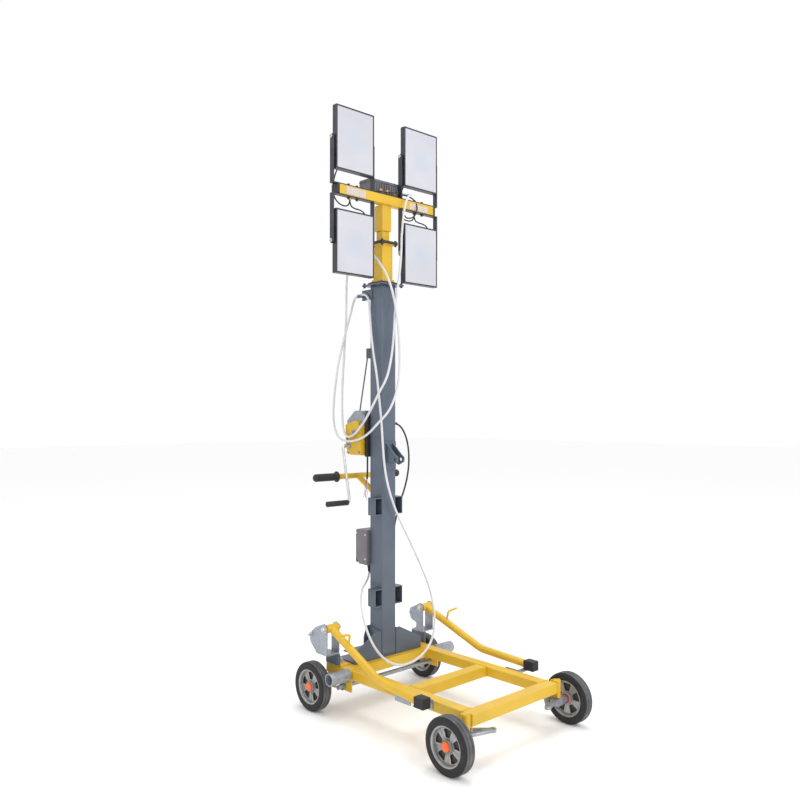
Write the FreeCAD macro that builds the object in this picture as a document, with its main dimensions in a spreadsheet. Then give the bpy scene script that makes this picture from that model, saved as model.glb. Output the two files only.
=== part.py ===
import FreeCAD, Part
import math
import os
import re
import Sketcher

# Mobile work light on a four-wheeled push cart, in millimetres.
# +Z is up, -Y is the front (the long open end of the cart), +X is the right side.
# The origin lies on the floor, half way between the front wheels' front and the handle grips' back.

SIZES = [
    # name, millimetres (or degrees)
    ("wheelbase", 805),
    ("wheel_radius", 100),
    ("wheel_width", 50),
    ("rear_wheel_x", 322),
    ("front_wheel_x", 343),
    ("rim_radius", 63),
    ("rim_side_inset", 3),
    ("rim_lip", 6),
    ("rim_web", 12),
    ("hub_radius", 24),
    ("hub_cap_radius", 17),
    ("hub_cap_proud", 3),
    ("tyre_shoulder", 6),
    ("axle_radius", 10),
    ("axle_play", 0.05),
    ("rail_width", 50),
    ("rail_height", 40),
    ("rail_wall", 3),
    ("rail_outer_x", 247),
    ("frame_top", 183),
    ("front_overhang", 18),
    ("rear_overhang", 7),
    ("middle_rail_back", 450),
    ("front_base_rail_back", 92),
    ("corner_plate", 4),
    ("corner_plate_width", 55),
    ("corner_plate_depth", 70),
    ("hanger_thick", 8),
    ("hanger_width", 50),
    ("sleeve_radius", 16),
    ("sleeve_x", 264),
    ("sleeve_foot", 22),
    ("kingpin_radius", 8),
    ("kingpin_play", 0.05),
    ("kingpin_gap", 1),
    ("knuckle_side", 36),
    ("knuckle_depth", 30),
    ("steer_arm_thick", 12),
    ("steer_arm_width", 18),
    ("steer_arm_in", 104),
    ("steer_arm_ahead", 35),
    ("steer_arm_behind", 56),
    ("steer_boss_radius", 13),
    ("steer_eye_radius", 6),
    ("stub_collar_radius", 16),
    ("mast_back", 74),
    ("mast_side", 80),
    ("mast_wall", 4),
    ("mast_top", 1794),
    ("base_plate", 8),
    ("base_plate_half", 193),
    ("base_plate_inset", 3),
    ("gusset_thick", 6),
    ("gusset_shoulder_z", 233),
    ("gusset_top_z", 298),
    ("gusset_top_half", 66),
    ("rear_gusset_half", 72),
    ("rear_gusset_top_half", 56),
    ("rear_gusset_shoulder_z", 262),
    ("side_gusset_reach", 62),
    ("flange_half", 66),
    ("flange_thick", 6),
    ("collar_half", 46),
    ("collar_thick", 8),
    ("guide_play", 0.3),
    ("middle_side", 62),
    ("middle_wall", 4),
    ("middle_bottom", 330),
    ("middle_flange_z", 1975),
    ("middle_flange_half", 46),
    ("middle_flange_thick", 6),
    ("inner_side", 42),
    ("inner_wall", 4),
    ("inner_bottom", 400),
    ("socket_side", 52),
    ("socket_bottom", 2035),
    ("bar_z", 2170),
    ("bar_side", 40),
    ("bar_wall", 3),
    ("bar_half", 275),
    ("bar_forward", 20),
    ("bar_cap", 12),
    ("lamp_x", 193),
    ("lamp_width", 206),
    ("lamp_height", 268),
    ("lamp_depth", 26),
    ("lamp_lens", 4),
    ("lamp_bezel", 6),
    ("lamp_fin_depth", 14),
    ("lamp_fin_thick", 4),
    ("lamp_fin_count", 9),
    ("lamp_pivot_forward", 24),
    ("upper_lamp_z", 2384),
    ("lower_lamp_z", 1950),
    ("lamp_boss_radius", 9),
    ("yoke_thick", 5),
    ("yoke_width", 24),
    ("yoke_gap", 5),
    ("lamp_pin_radius", 5),
    ("lamp_pin_play", 0.05),
    ("box_width", 164),
    ("box_depth", 76),
    ("box_height", 70),
    ("box_shift", 2),
    ("box_ahead", 30),
    ("gland_radius", 9),
    ("gland_length", 14),
    ("handle_half", 246),
    ("handle_z", 953),
    ("handle_out", 171),
    ("handle_radius", 12.5),
    ("stem_foot_z", 874),
    ("grip_radius", 17),
    ("grip_length", 125),
    ("grip_flange_radius", 24),
    ("grip_flange", 10),
    ("winch_bottom", 1049),
    ("winch_height", 154),
    ("winch_half", 56),
    ("winch_plate", 4),
    ("winch_pad", 18),
    ("winch_depth", 128),
    ("cover_depth", 108),
    ("cover_thick", 22),
    ("crank_up", 41),
    ("crank_back", 102),
    ("crank_shaft_radius", 9),
    ("crank_plane", 112),
    ("crank_arm", 250),
    ("crank_arm_radius", 6),
    ("crank_lean", 11.5),
    ("crank_grip_radius", 12),
    ("crank_grip_length", 112),
    ("drum_up", 101),
    ("drum_back", 71),
    ("drum_radius", 32),
    ("drum_cheek", 44),
    ("drum_cheek_thick", 4),
    ("drum_half", 40),
    ("rope_radius", 3),
    ("pulley_back", 18),
    ("pulley_z", 1500),
    ("rope_x", 26),
    ("pulley_radius", 9),
    ("pulley_half", 6),
    ("fork_plate", 8),
    ("control_half", 60),
    ("control_depth", 75),
    ("control_bottom", 570),
    ("control_height", 152),
    ("control_chamfer", 26),
    ("pocket_out", 40),
    ("pocket_depth", 46),
    ("pocket_height", 76),
    ("pocket_wall", 4),
    ("upper_pocket_z", 794),
    ("lower_pocket_z", 402),
    ("clevis_plate_width", 72),
    ("clevis_plate_height", 120),
    ("clevis_z", 992),
    ("clevis_thick", 6),
    ("clevis_ear_x", 18),
    ("clevis_reach", 58),
    ("clevis_hole_radius", 8),
    ("socket_tube_radius", 25),
    ("socket_tube_wall", 4),
    ("socket_tube_ahead", 145),
    ("socket_tube_reach", 100),
    ("tie_rod_radius", 9),
    ("tie_rod_z", 112),
    ("tie_rod_ahead", 118),
    ("tie_rod_half", 285),
    ("side_plate_thick", 6),
    ("cheek_inner_x", 245),
    ("cheek_outer_x", 307),
    ("cheek_thick", 4),
    ("arm_pivot_ahead", 64),
    ("arm_pivot_z", 343),
    ("arm_pivot_radius", 8),
    ("arm_pivot_play", 0.05),
    ("arm_hub_radius", 17),
    ("arm_tube_radius", 16),
    ("arm_bend_radius", 120),
    ("block_height", 46),
    ("block_width", 14),
    ("block_depth", 82),
    ("bracket_floor", 6),
    ("cam_base", 58),
    ("strip_depth", 51),
    ("foot_side", 38),
    ("foot_length", 48),
    ("foot_from_front", 189),
    ("foot_x", 314),
    ("foot_z", 196),
    ("arm_bend_x", 300),
    ("arm_bend_z", 212),
    ("arm_bend_from_foot", 236),
    ("hand_rod_radius", 5),
    ("hand_rod_height", 50),
    ("hand_rod_along", 133),
    ("hand_rod_reach", 52),
    ("cradle_wall", 70),
    ("cradle_wall_short", 34),
    ("cradle_plate", 87),
    ("cradle_plate_behind", 151),
    ("cradle_plate_below", 10),
    ("cradle_thick", 4),
    ("hook_plate", 5),
    ("hook_back", 39),
    ("hook_drop", 43.5),
    ("hook_radius", 4),
    ("hook_reach", 31),
    ("cable_radius", 5),
    ("black_cable_radius", 4),
    ("switch_cable_radius", 4),
]

doc = FreeCAD.newDocument("WorkLight")
sheet = doc.addObject("Spreadsheet::Sheet", "Size")
for row, (word, number) in enumerate(SIZES, start=1):
    sheet.set("A%d" % row, word)
    sheet.set("B%d" % row, str(number))
    sheet.setAlias("B%d" % row, word)
doc.recompute()

ALIASES = {word for word, number in SIZES}
WORD = re.compile(r"[A-Za-z_]+")

# Places that several pieces share, as expressions of the sizes
REAR_AXLE_Y = "((wheelbase + wheel_radius - handle_out + mast_back - grip_flange_radius)/2)"
FRONT_AXLE_Y = "(%s - wheelbase)" % REAR_AXLE_Y
MAST_Y = "(%s - mast_back)" % REAR_AXLE_Y
MAST_FRONT = "(%s - mast_side/2)" % MAST_Y
MAST_REAR = "(%s + mast_side/2)" % MAST_Y
DECK_Z = "(frame_top + base_plate)"
BAR_Y = "(%s - bar_forward)" % MAST_Y
LAMP_Y = "(%s - lamp_pivot_forward)" % MAST_Y
CRANK_Y = "(%s + crank_back)" % MAST_REAR
DRUM_Y = "(%s + drum_back)" % MAST_REAR
CRANK_Z = "(winch_bottom + crank_up)"
DRUM_Z = "(winch_bottom + drum_up)"
HANDLE_Y = "(%s + handle_out)" % MAST_Y
ARM_Y = "(%s - arm_pivot_ahead)" % REAR_AXLE_Y

NODES = {}


def bound(text):
    """Put the sheet's name before each size in an expression."""
    return WORD.sub(lambda m: "Size." + m.group(0) if m.group(0) in ALIASES else m.group(0), str(text))


def value(text):
    """The number that an expression of the sizes comes to, for shapes made in code."""
    numbers = {word: sheet.get(word) for word in WORD.findall(str(text)) if word in ALIASES}
    filled = WORD.sub(lambda m: repr(float(numbers[m.group(0)])), str(text))
    return sum_up(filled)


def sum_up(text):
    """Work out plain arithmetic: + - * / and brackets."""
    tokens = re.findall(r"\d+\.?\d*(?:e-?\d+)?|[-+*/()]", text.replace(" ", ""))

    def factor():
        token = tokens.pop(0)
        if token == "-":
            return -factor()
        if token == "(":
            inside = total()
            tokens.pop(0)
            return inside
        return float(token)

    def product():
        result = factor()
        while tokens and tokens[0] in "*/":
            if tokens.pop(0) == "*":
                result *= factor()
            else:
                result /= factor()
        return result

    def total():
        result = product()
        while tokens and tokens[0] in "+-":
            if tokens.pop(0) == "+":
                result += product()
            else:
                result -= product()
        return result

    return total()


def place(thing, x, y, z):
    for axis, text in (("x", x), ("y", y), ("z", z)):
        thing.setExpression("Placement.Base." + axis, bound(text))


def box(size, corner):
    """A block from its three edge lengths and its lowest corner."""
    thing = doc.addObject("Part::Box", "Block")
    for edge, text in zip(("Length", "Width", "Height"), size):
        thing.setExpression(edge, bound(text))
    place(thing, *corner)
    return thing


TURN = {
    "x": FreeCAD.Rotation(FreeCAD.Vector(0, 1, 0), 90),
    "y": FreeCAD.Rotation(FreeCAD.Vector(1, 0, 0), -90),
    "z": FreeCAD.Rotation(),
}


def rod(axis, radius, length, start):
    """A cylinder along +x, +y or +z from its start point."""
    thing = doc.addObject("Part::Cylinder", "Rod")
    thing.Placement = FreeCAD.Placement(FreeCAD.Vector(), TURN[axis])
    thing.setExpression("Radius", bound(radius))
    thing.setExpression("Height", bound(length))
    place(thing, *start)
    return thing


def fuse(things):
    if len(things) == 1:
        return things[0]
    thing = doc.addObject("Part::MultiFuse", "Joined")
    thing.Shapes = things
    return thing


def cut(base, tool):
    thing = doc.addObject("Part::Cut", "Cut")
    thing.Base = base
    thing.Tool = tool
    return thing


def tube(axis, outer, wall, length, start):
    """A round tube from its outer radius and wall."""
    return cut(rod(axis, outer, length, start), rod(axis, "%s - %s" % (outer, wall), length, start))


def square_tube(side, wall, bottom, top):
    """An upright square tube on the mast's centre line."""
    outer = box((side, side, "%s - %s" % (top, bottom)), ("-%s/2" % side, "%s - %s/2" % (MAST_Y, side), bottom))
    inside = "(%s - 2*%s)" % (side, wall)
    hollow = box((inside, inside, "%s - %s" % (top, bottom)), ("-%s/2" % inside, "%s - %s/2" % (MAST_Y, inside), bottom))
    return cut(outer, hollow)


PLANES = {"xy": "XY_Plane", "xz": "XZ_Plane", "yz": "YZ_Plane"}


def sketch_on(body, plane, points):
    """A closed outline of straight lines, each corner held by two sizes."""
    sketch = body.newObject("Sketcher::SketchObject", "Outline")
    origin_plane = [f for f in body.Origin.OriginFeatures if f.Role == PLANES[plane]][0]
    sketch.AttachmentSupport = (origin_plane, [""])
    sketch.MapMode = "FlatFace"
    spots = [FreeCAD.Vector(value(a), value(b), 0) for a, b in points]
    for index, spot in enumerate(spots):
        sketch.addGeometry(Part.LineSegment(spot, spots[(index + 1) % len(spots)]))
    for index in range(len(spots)):
        sketch.addConstraint(Sketcher.Constraint("Coincident", index, 2, (index + 1) % len(spots), 1))
    for index, (a, b) in enumerate(points):
        for kind, text in (("DistanceX", a), ("DistanceY", b)):
            at = sketch.addConstraint(Sketcher.Constraint(kind, -1, 1, index, 1, value(text)))
            word = "%s_%d" % (kind.lower(), index)
            sketch.renameConstraint(at, word)
            sketch.setExpression("Constraints." + word, bound(text))
    return sketch


def plate(plane, points, thick, corner):
    """A flat plate: an outline in a plane, thickened to both sides, then moved."""
    body = doc.addObject("PartDesign::Body", "Plate")
    sketch = sketch_on(body, plane, points)
    pad = body.newObject("PartDesign::Pad", "Thickness")
    pad.Profile = sketch
    pad.Midplane = True
    pad.setExpression("Length", bound(thick))
    body.Tip = pad
    place(body, *corner)
    return body


def turned(points, corner, axis_turn=None):
    """A turned piece: an outline of (radius, along) corners spun about its own axis."""
    body = doc.addObject("PartDesign::Body", "Turned")
    sketch = sketch_on(body, "xy", points)
    spin = body.newObject("PartDesign::Revolution", "Spin")
    spin.Profile = sketch
    spin.ReferenceAxis = (sketch, ["V_Axis"])
    spin.Angle = 360
    body.Tip = spin
    body.Placement = FreeCAD.Placement(FreeCAD.Vector(), axis_turn or FreeCAD.Rotation())
    place(body, *corner)
    return body


def route(points, radius_limit=None):
    """Straight runs joined by tangent arcs; returns the wire, its length and its arc radii."""
    spots = [FreeCAD.Vector(*p) for p in points]
    edges = []
    radii = []
    last = spots[0]
    for index in range(1, len(spots) - 1):
        before = spots[index] - spots[index - 1]
        after = spots[index + 1] - spots[index]
        half = before.getAngle(after) / 2
        reach = 0.45 * min(before.Length, after.Length)
        radius = reach / math.tan(half)
        if radius_limit and radius > radius_limit:
            radius = radius_limit
            reach = radius * math.tan(half)
        radii.append(radius)
        start = spots[index] - before.normalize() * reach
        end = spots[index] + after.normalize() * reach
        inward = (start + end) * 0.5 - spots[index]
        middle = spots[index] + inward.normalize() * (radius / math.cos(half) - radius)
        edges.append(Part.LineSegment(last, start).toShape())
        edges.append(Part.Arc(start, middle, end).toShape())
        last = end
    edges.append(Part.LineSegment(last, spots[-1]).toShape())
    wire = Part.Wire(edges)
    return wire, wire.Length, radii


def bent_rod(points, radius, radius_limit=None):
    """A round bar or cable along a route, as one solid."""
    wire, length, radii = route(points, radius_limit)
    first = FreeCAD.Vector(*points[0])
    along = FreeCAD.Vector(*points[1]) - first
    disc = Part.Wire(Part.Circle(first, along, radius).toShape())
    shape = wire.makePipeShell([disc], True, False)
    expected = math.pi * radius ** 2 * length
    if abs(shape.Volume - expected) > 0.01 * expected:
        raise ValueError("bent rod volume %.1f, expected %.1f" % (shape.Volume, expected))
    return shape, length, radii


def coded(shape):
    thing = doc.addObject("Part::Feature", "Shaped")
    thing.Shape = shape
    return thing


def node(name, thing):
    thing.Label = name
    NODES[name] = thing
    return thing


SIDES = (("left", -1), ("right", 1))


def from_rear(distance):
    """The y of a point that lies this far ahead of the rear axle."""
    return "(%s - %s)" % (REAR_AXLE_Y, distance)


# Cart frame: two side rails and four cross rails, all rectangular tube
def rail(width, depth, corner, along):
    outer = box((width, depth, "rail_height"), corner)
    inset = {"x": (0, "rail_wall"), "y": ("rail_wall", 0)}[along]
    inner = box(
        ("%s - 2*%s" % (width, inset[0]), "%s - 2*%s" % (depth, inset[1]), "rail_height - 2*rail_wall"),
        ("%s + %s" % (corner[0], inset[0]), "%s + %s" % (corner[1], inset[1]), "%s + rail_wall" % corner[2]))
    return cut(outer, inner)


RAIL_BOTTOM = "(frame_top - rail_height)"
SIDE_LENGTH = "(wheelbase + front_overhang + rear_overhang - rail_width)"
SIDE_START = "(%s - front_overhang)" % FRONT_AXLE_Y
side_rails = []
for side, sign in SIDES:
    corner_x = "-rail_outer_x" if sign < 0 else "rail_outer_x - rail_width"
    side_rails.append(rail("rail_width", SIDE_LENGTH, (corner_x, SIDE_START + " + rail_width", RAIL_BOTTOM), "y"))
node("side_rails", fuse(side_rails))

CROSS_LENGTH = "(2*rail_outer_x - 2*rail_width)"
CROSS_START = "(rail_width - rail_outer_x)"
CROSS_RAILS = (
    # rear face of each cross rail between the side rails
    REAR_AXLE_Y + " - middle_rail_back",
    REAR_AXLE_Y + " - front_base_rail_back",
    REAR_AXLE_Y + " + rear_overhang",
)
cross_rails = [
    rail(CROSS_LENGTH, "rail_width", (CROSS_START, back + " - rail_width", RAIL_BOTTOM), "x")
    for back in CROSS_RAILS]
front_corner = ("-rail_outer_x", SIDE_START, RAIL_BOTTOM)
front_rail = [rail("2*rail_outer_x", "rail_width", front_corner, "x")]
for start in ("-rail_outer_x", "rail_outer_x - rail_wall"):
    front_rail.append(box(("rail_wall", "rail_width", "rail_height"), (start, SIDE_START, RAIL_BOTTOM)))
cross_rails.append(fuse(front_rail))
node("cross_rails", fuse(cross_rails))

# Corner plates on the rear corners, under the stabiliser brackets
corner_plates = []
for side, sign in SIDES:
    corner_x = "-rail_outer_x" if sign < 0 else "rail_outer_x - corner_plate_width"
    corner_plates.append(box(
        ("corner_plate_width", "corner_plate_depth + rear_overhang + block_depth - 60", "corner_plate"),
        (corner_x, REAR_AXLE_Y + " - corner_plate_depth - block_depth + 60", "frame_top")))

# Hangers under the side rails that hold the fixed rear axle
hangers = []
for side, sign in SIDES:
    start = "-rail_outer_x + rail_width/2 - hanger_thick/2" if sign < 0 else "rail_outer_x - rail_width/2 - hanger_thick/2"
    blank = box(
        ("hanger_thick", "hanger_width", RAIL_BOTTOM + " - wheel_radius + hanger_width/2"),
        (start, REAR_AXLE_Y + " - hanger_width/2", "wheel_radius - hanger_width/2"))
    hangers.append(cut(blank, rod("x", "axle_radius", "hanger_thick", (start, REAR_AXLE_Y, "wheel_radius"))))

# The rear axle bar with a collar inside each wheel
REAR_INNER = "(rear_wheel_x - wheel_width/2)"
rear_axle_parts = [rod("x", "axle_radius", "2*rear_wheel_x + wheel_width - 12", ("-rear_wheel_x - wheel_width/2 + 6", REAR_AXLE_Y, "wheel_radius"))]
for side, sign in SIDES:
    start = "-%s + 0.3" % REAR_INNER if sign < 0 else REAR_INNER + " - 14.3"
    rear_axle_parts.append(rod("x", "stub_collar_radius", 14, (start, REAR_AXLE_Y, "wheel_radius")))
node("rear_axle", fuse(rear_axle_parts))

# Upright sleeves at the front corners, bored for the kingpins
sleeves = []
for side, sign in SIDES:
    centre = "sleeve_x" if sign > 0 else "-sleeve_x"
    height = "rail_height + sleeve_foot + 4"
    bottom = RAIL_BOTTOM + " - sleeve_foot"
    solid = rod("z", "sleeve_radius", height, (centre, FRONT_AXLE_Y, bottom))
    web_start = "-rail_outer_x - (sleeve_x - rail_outer_x)" if sign < 0 else "rail_outer_x"
    web = box(("sleeve_x - rail_outer_x", "2*sleeve_radius - 4", "rail_height"), (web_start, FRONT_AXLE_Y + " - sleeve_radius + 2", RAIL_BOTTOM))
    whole = fuse([solid, web])
    bored = cut(whole, rod("z", "kingpin_radius + kingpin_play", "rail_height + sleeve_foot", (centre, FRONT_AXLE_Y, bottom)))
    rail_start = "-rail_outer_x" if sign < 0 else "rail_outer_x - rail_width"
    clear = box(("rail_width", "rail_width*3", "rail_height"), (rail_start, FRONT_AXLE_Y + " - rail_width*1.5", RAIL_BOTTOM))
    sleeves.append(cut(bored, clear))

# Steered knuckles: kingpin, block, stub axle and flat steering arm
KNUCKLE_TOP = "(%s - sleeve_foot - kingpin_gap)" % RAIL_BOTTOM
for side, sign in SIDES:
    centre = "sleeve_x" if sign > 0 else "-sleeve_x"
    pin_length = "rail_height + sleeve_foot + knuckle_depth"
    pin = rod("z", "kingpin_radius", pin_length, (centre, FRONT_AXLE_Y, KNUCKLE_TOP + " - knuckle_depth"))
    block = box(("knuckle_side", "knuckle_side", "knuckle_depth"), (centre + " - knuckle_side/2", FRONT_AXLE_Y + " - knuckle_side/2", KNUCKLE_TOP + " - knuckle_depth"))
    reach = "(front_wheel_x + wheel_width/2 - 6 - sleeve_x)"
    stub_start = centre if sign > 0 else "-front_wheel_x - wheel_width/2 + 6"
    stub = rod("x", "axle_radius", reach, (stub_start, FRONT_AXLE_Y, "wheel_radius"))
    collar_start = "sleeve_x" if sign > 0 else "-front_wheel_x + wheel_width/2 + 0.3"
    collar = rod("x", "stub_collar_radius", "front_wheel_x - wheel_width/2 - sleeve_x - 0.3", (collar_start, FRONT_AXLE_Y, "wheel_radius"))
    inner = "(sleeve_x - steer_arm_in)"
    half = "steer_arm_width/2"
    mirror = "" if sign > 0 else "-"
    lateral = [
        (mirror + inner, "-steer_arm_ahead - " + half),
        (mirror + "sleeve_x", "-knuckle_side/2 + 2"),
        (mirror + "sleeve_x", "-knuckle_side/2 + 2 + steer_arm_width"),
        (mirror + inner, "-steer_arm_ahead + " + half),
    ]
    shank = [
        (mirror + "(sleeve_x - knuckle_side/2)", "-knuckle_side/2 + 2"),
        (mirror + "(sleeve_x + 4)", "-knuckle_side/2 + 2"),
        (mirror + "(sleeve_x + 4)", "steer_arm_behind"),
        (mirror + "(sleeve_x - knuckle_side/2)", "steer_arm_behind"),
    ]
    brace = [
        (mirror + inner, "-steer_arm_ahead - " + half),
        (mirror + "(sleeve_x - knuckle_side/2 + 3)", "steer_arm_behind - steer_arm_width*1.5"),
        (mirror + "(sleeve_x - knuckle_side/2 + 3)", "steer_arm_behind"),
        (mirror + inner, "-steer_arm_ahead + " + half),
    ]
    arm_z = KNUCKLE_TOP + " - steer_arm_thick/2"
    arms = [plate("xy", outline, "steer_arm_thick", (0, FRONT_AXLE_Y, arm_z)) for outline in (lateral, shank, brace)]
    eye_x = inner if sign > 0 else "-" + inner
    eye_y = FRONT_AXLE_Y + " - steer_arm_ahead"
    boss = rod("z", "steer_boss_radius", "steer_arm_thick", (eye_x, eye_y, arm_z + " - steer_arm_thick/2"))
    whole = fuse([pin, block, stub, collar, boss] + arms)
    eye = rod("z", "steer_eye_radius", "2*steer_arm_thick", (eye_x, eye_y, arm_z + " - steer_arm_thick"))
    node("knuckle_" + side, cut(whole, eye))


# Wheels: a ribbed tyre on a five-spoked rim with a round cap on the outside
def wheel(name, centre_x, axle_y, sign):
    half = "wheel_width/2"
    outline = [
        ("rim_radius", "-%s + rim_side_inset" % half),
        ("wheel_radius - tyre_shoulder", "-" + half),
        ("wheel_radius", "-%s + tyre_shoulder" % half),
        ("wheel_radius", "%s - tyre_shoulder" % half),
        ("wheel_radius - tyre_shoulder", half),
        ("rim_radius", "%s - rim_side_inset" % half),
    ]
    x = centre_x if sign > 0 else "-" + centre_x
    node("tyre_" + name, turned(outline, (x, axle_y, "wheel_radius"), FreeCAD.Rotation(FreeCAD.Vector(0, 0, 1), -90)))
    width = "(wheel_width - 2*rim_side_inset)"
    start = "%s - %s/2" % (x, width)
    ring = cut(rod("x", "rim_radius", width, (start, axle_y, "wheel_radius")), rod("x", "rim_radius - rim_lip", width, (start, axle_y, "wheel_radius")))
    web = rod("x", "rim_radius - rim_lip/2", "rim_web", (x + " - rim_web/2", axle_y, "wheel_radius"))
    windows = []
    spokes = 5
    for number in range(spokes):
        angle = math.radians(90 + 360 / spokes * number)
        reach = "(rim_radius/2 + hub_radius/2 - 2)"
        windows.append(rod("x", "(rim_radius - hub_radius)/2 - 6", "wheel_width", (
            x + " - wheel_width/2", "%s + %s*%.6f" % (axle_y, reach, math.cos(angle)), "wheel_radius + %s*%.6f" % (reach, math.sin(angle)))))
    pierced = cut(web, fuse(windows))
    hub = rod("x", "hub_radius", width, (start, axle_y, "wheel_radius"))
    cap_start = x + " + %s/2" % width if sign > 0 else "%s - %s/2 - hub_cap_proud" % (x, width)
    cap = rod("x", "hub_cap_radius", "hub_cap_proud", (cap_start, axle_y, "wheel_radius"))
    whole = fuse([ring, pierced, hub, cap])
    bore_length = "(wheel_width - 6)"
    bore_start = "%s - wheel_width/2" % x if sign > 0 else "%s - wheel_width/2 + 6" % x
    node("rim_" + name, cut(whole, rod("x", "axle_radius + axle_play", bore_length, (bore_start, axle_y, "wheel_radius"))))


for side, sign in SIDES:
    wheel("rear_" + side, "rear_wheel_x", REAR_AXLE_Y, sign)
    wheel("front_" + side, "front_wheel_x", FRONT_AXLE_Y, sign)

# Mast base: deck plate, front wings, narrow rear gusset, side gussets and shoulder flanges
WING_Y = "(%s + gusset_thick/2)" % MAST_FRONT
BASE_START = "(%s + gusset_thick)" % MAST_FRONT
BASE_DEPTH = "(mast_side/2 + mast_back + rear_overhang - gusset_thick)"
base_parts = [
    box(("2*base_plate_half - 2*base_plate_inset", BASE_DEPTH, "base_plate"), ("base_plate_inset - base_plate_half", BASE_START, "frame_top")),
    box(("mast_side", "mast_side", "base_plate"), ("-mast_side/2", MAST_FRONT, "frame_top")),
]
for side, sign in SIDES:
    mirror = "" if sign > 0 else "-"
    wing = [
        (mirror + "(mast_side/2)", "frame_top"), (mirror + "base_plate_half", "frame_top"), (mirror + "base_plate_half", "gusset_shoulder_z"),
        (mirror + "gusset_top_half", "gusset_top_z"), (mirror + "(mast_side/2)", "gusset_top_z"),
    ]
    base_parts.append(plate("xz", wing, "gusset_thick", (0, WING_Y, 0)))
rear_gusset = [
    ("-rear_gusset_half", "frame_top"), ("rear_gusset_half", "frame_top"), ("rear_gusset_half", "rear_gusset_shoulder_z"),
    ("rear_gusset_top_half", "gusset_top_z + 10"), ("-rear_gusset_top_half", "gusset_top_z + 10"), ("-rear_gusset_half", "rear_gusset_shoulder_z"),
]
base_parts.append(plate("xz", rear_gusset, "gusset_thick", (0, MAST_REAR + " + gusset_thick/2", 0)))
side_gusset = [
    ("-mast_side/2 + gusset_thick/2", DECK_Z), ("side_gusset_reach", DECK_Z), ("side_gusset_reach", "gusset_shoulder_z"),
    ("mast_side/2 + 2", "gusset_top_z + 8"), ("-mast_side/2 + gusset_thick/2", "gusset_top_z - 2"),
]
for side, sign in SIDES:
    x = "mast_side/2 + gusset_thick/2" if sign > 0 else "-mast_side/2 - gusset_thick/2"
    base_parts.append(plate("yz", side_gusset, "gusset_thick", (x, MAST_Y, 0)))
    start = "mast_side/2 + gusset_thick/2" if sign > 0 else "-base_plate_half + 5"
    base_parts.append(box(
        ("base_plate_half - 5 - mast_side/2 - gusset_thick/2", "mast_side - gusset_thick/2", "gusset_thick"),
        (start, MAST_FRONT + " + gusset_thick/2", "gusset_shoulder_z - gusset_thick - 4")))
node("mast_base", fuse(base_parts))

# Mast: an outer, a middle and an inner square tube, each sliding in the one before
node("mast_outer", square_tube("mast_side", "mast_wall", DECK_Z, "mast_top"))


def square_ring(half, hole, thick, bottom):
    outer = box(("2*" + half, "2*" + half, thick), ("-" + half, MAST_Y + " - " + half, bottom))
    inner = box((hole, hole, thick), ("-(%s)/2" % hole, "%s - (%s)/2" % (MAST_Y, hole), bottom))
    return cut(outer, inner)


MIDDLE_HOLE = "(middle_side + 2*guide_play)"
INNER_HOLE = "(inner_side + 2*guide_play)"
mast_flange = square_ring("flange_half", MIDDLE_HOLE, "flange_thick", "mast_top")
mast_collar = square_ring("collar_half", MIDDLE_HOLE, "collar_thick", "mast_top + flange_thick")
node("mast_flange", fuse([mast_flange, mast_collar]))
middle_tube = square_tube("middle_side", "middle_wall", "middle_bottom", "middle_flange_z")
middle_flange = square_ring("middle_flange_half", INNER_HOLE, "middle_flange_thick", "middle_flange_z")
middle_collar = square_ring("middle_flange_half", INNER_HOLE, "middle_flange_thick", "middle_flange_z + middle_flange_thick")
node("mast_middle", fuse([middle_tube, middle_flange, middle_collar]))
node("mast_inner", square_tube("inner_side", "inner_wall", "inner_bottom", "socket_bottom"))

# Head: socket on the inner tube and the lamp bar across its top
BAR_BOTTOM = "(bar_z - bar_side/2)"
BAR_TOP = "(bar_z + bar_side/2)"
socket_block = box(("socket_side", "socket_side", BAR_BOTTOM + " - socket_bottom"), ("-socket_side/2", MAST_Y + " - socket_side/2", "socket_bottom"))
bar_outer = box(("2*bar_half", "bar_side", "bar_side"), ("-bar_half", BAR_Y + " - bar_side/2", BAR_BOTTOM))
bar_inner = box(
    ("2*bar_half", "bar_side - 2*bar_wall", "bar_side - 2*bar_wall"),
    ("-bar_half", BAR_Y + " - bar_side/2 + bar_wall", BAR_BOTTOM + " + bar_wall"))
node("lamp_bar", fuse([socket_block, cut(bar_outer, bar_inner)]))
caps = []
for side, sign in SIDES:
    start = "bar_half" if sign > 0 else "-bar_half - bar_cap"
    caps.append(box(("bar_cap", "bar_side", "bar_side"), (start, BAR_Y + " - bar_side/2", BAR_BOTTOM)))
node("bar_caps", fuse(caps))
BOX_START = "(%s - bar_side/2 + box_ahead)" % BAR_Y
junction_body = box(("box_width", "box_depth", "box_height"), ("box_shift - box_width/2", BOX_START, BAR_TOP))
GLAND_Z = "(bar_z + bar_side/2 + box_height*0.65)"
GLAND_Y = "(%s + box_depth/2)" % BOX_START
box_gland = rod("x", "gland_radius", "gland_length", ("box_shift + box_width/2", GLAND_Y, GLAND_Z))
node("junction_box", fuse([junction_body, box_gland]))

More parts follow.
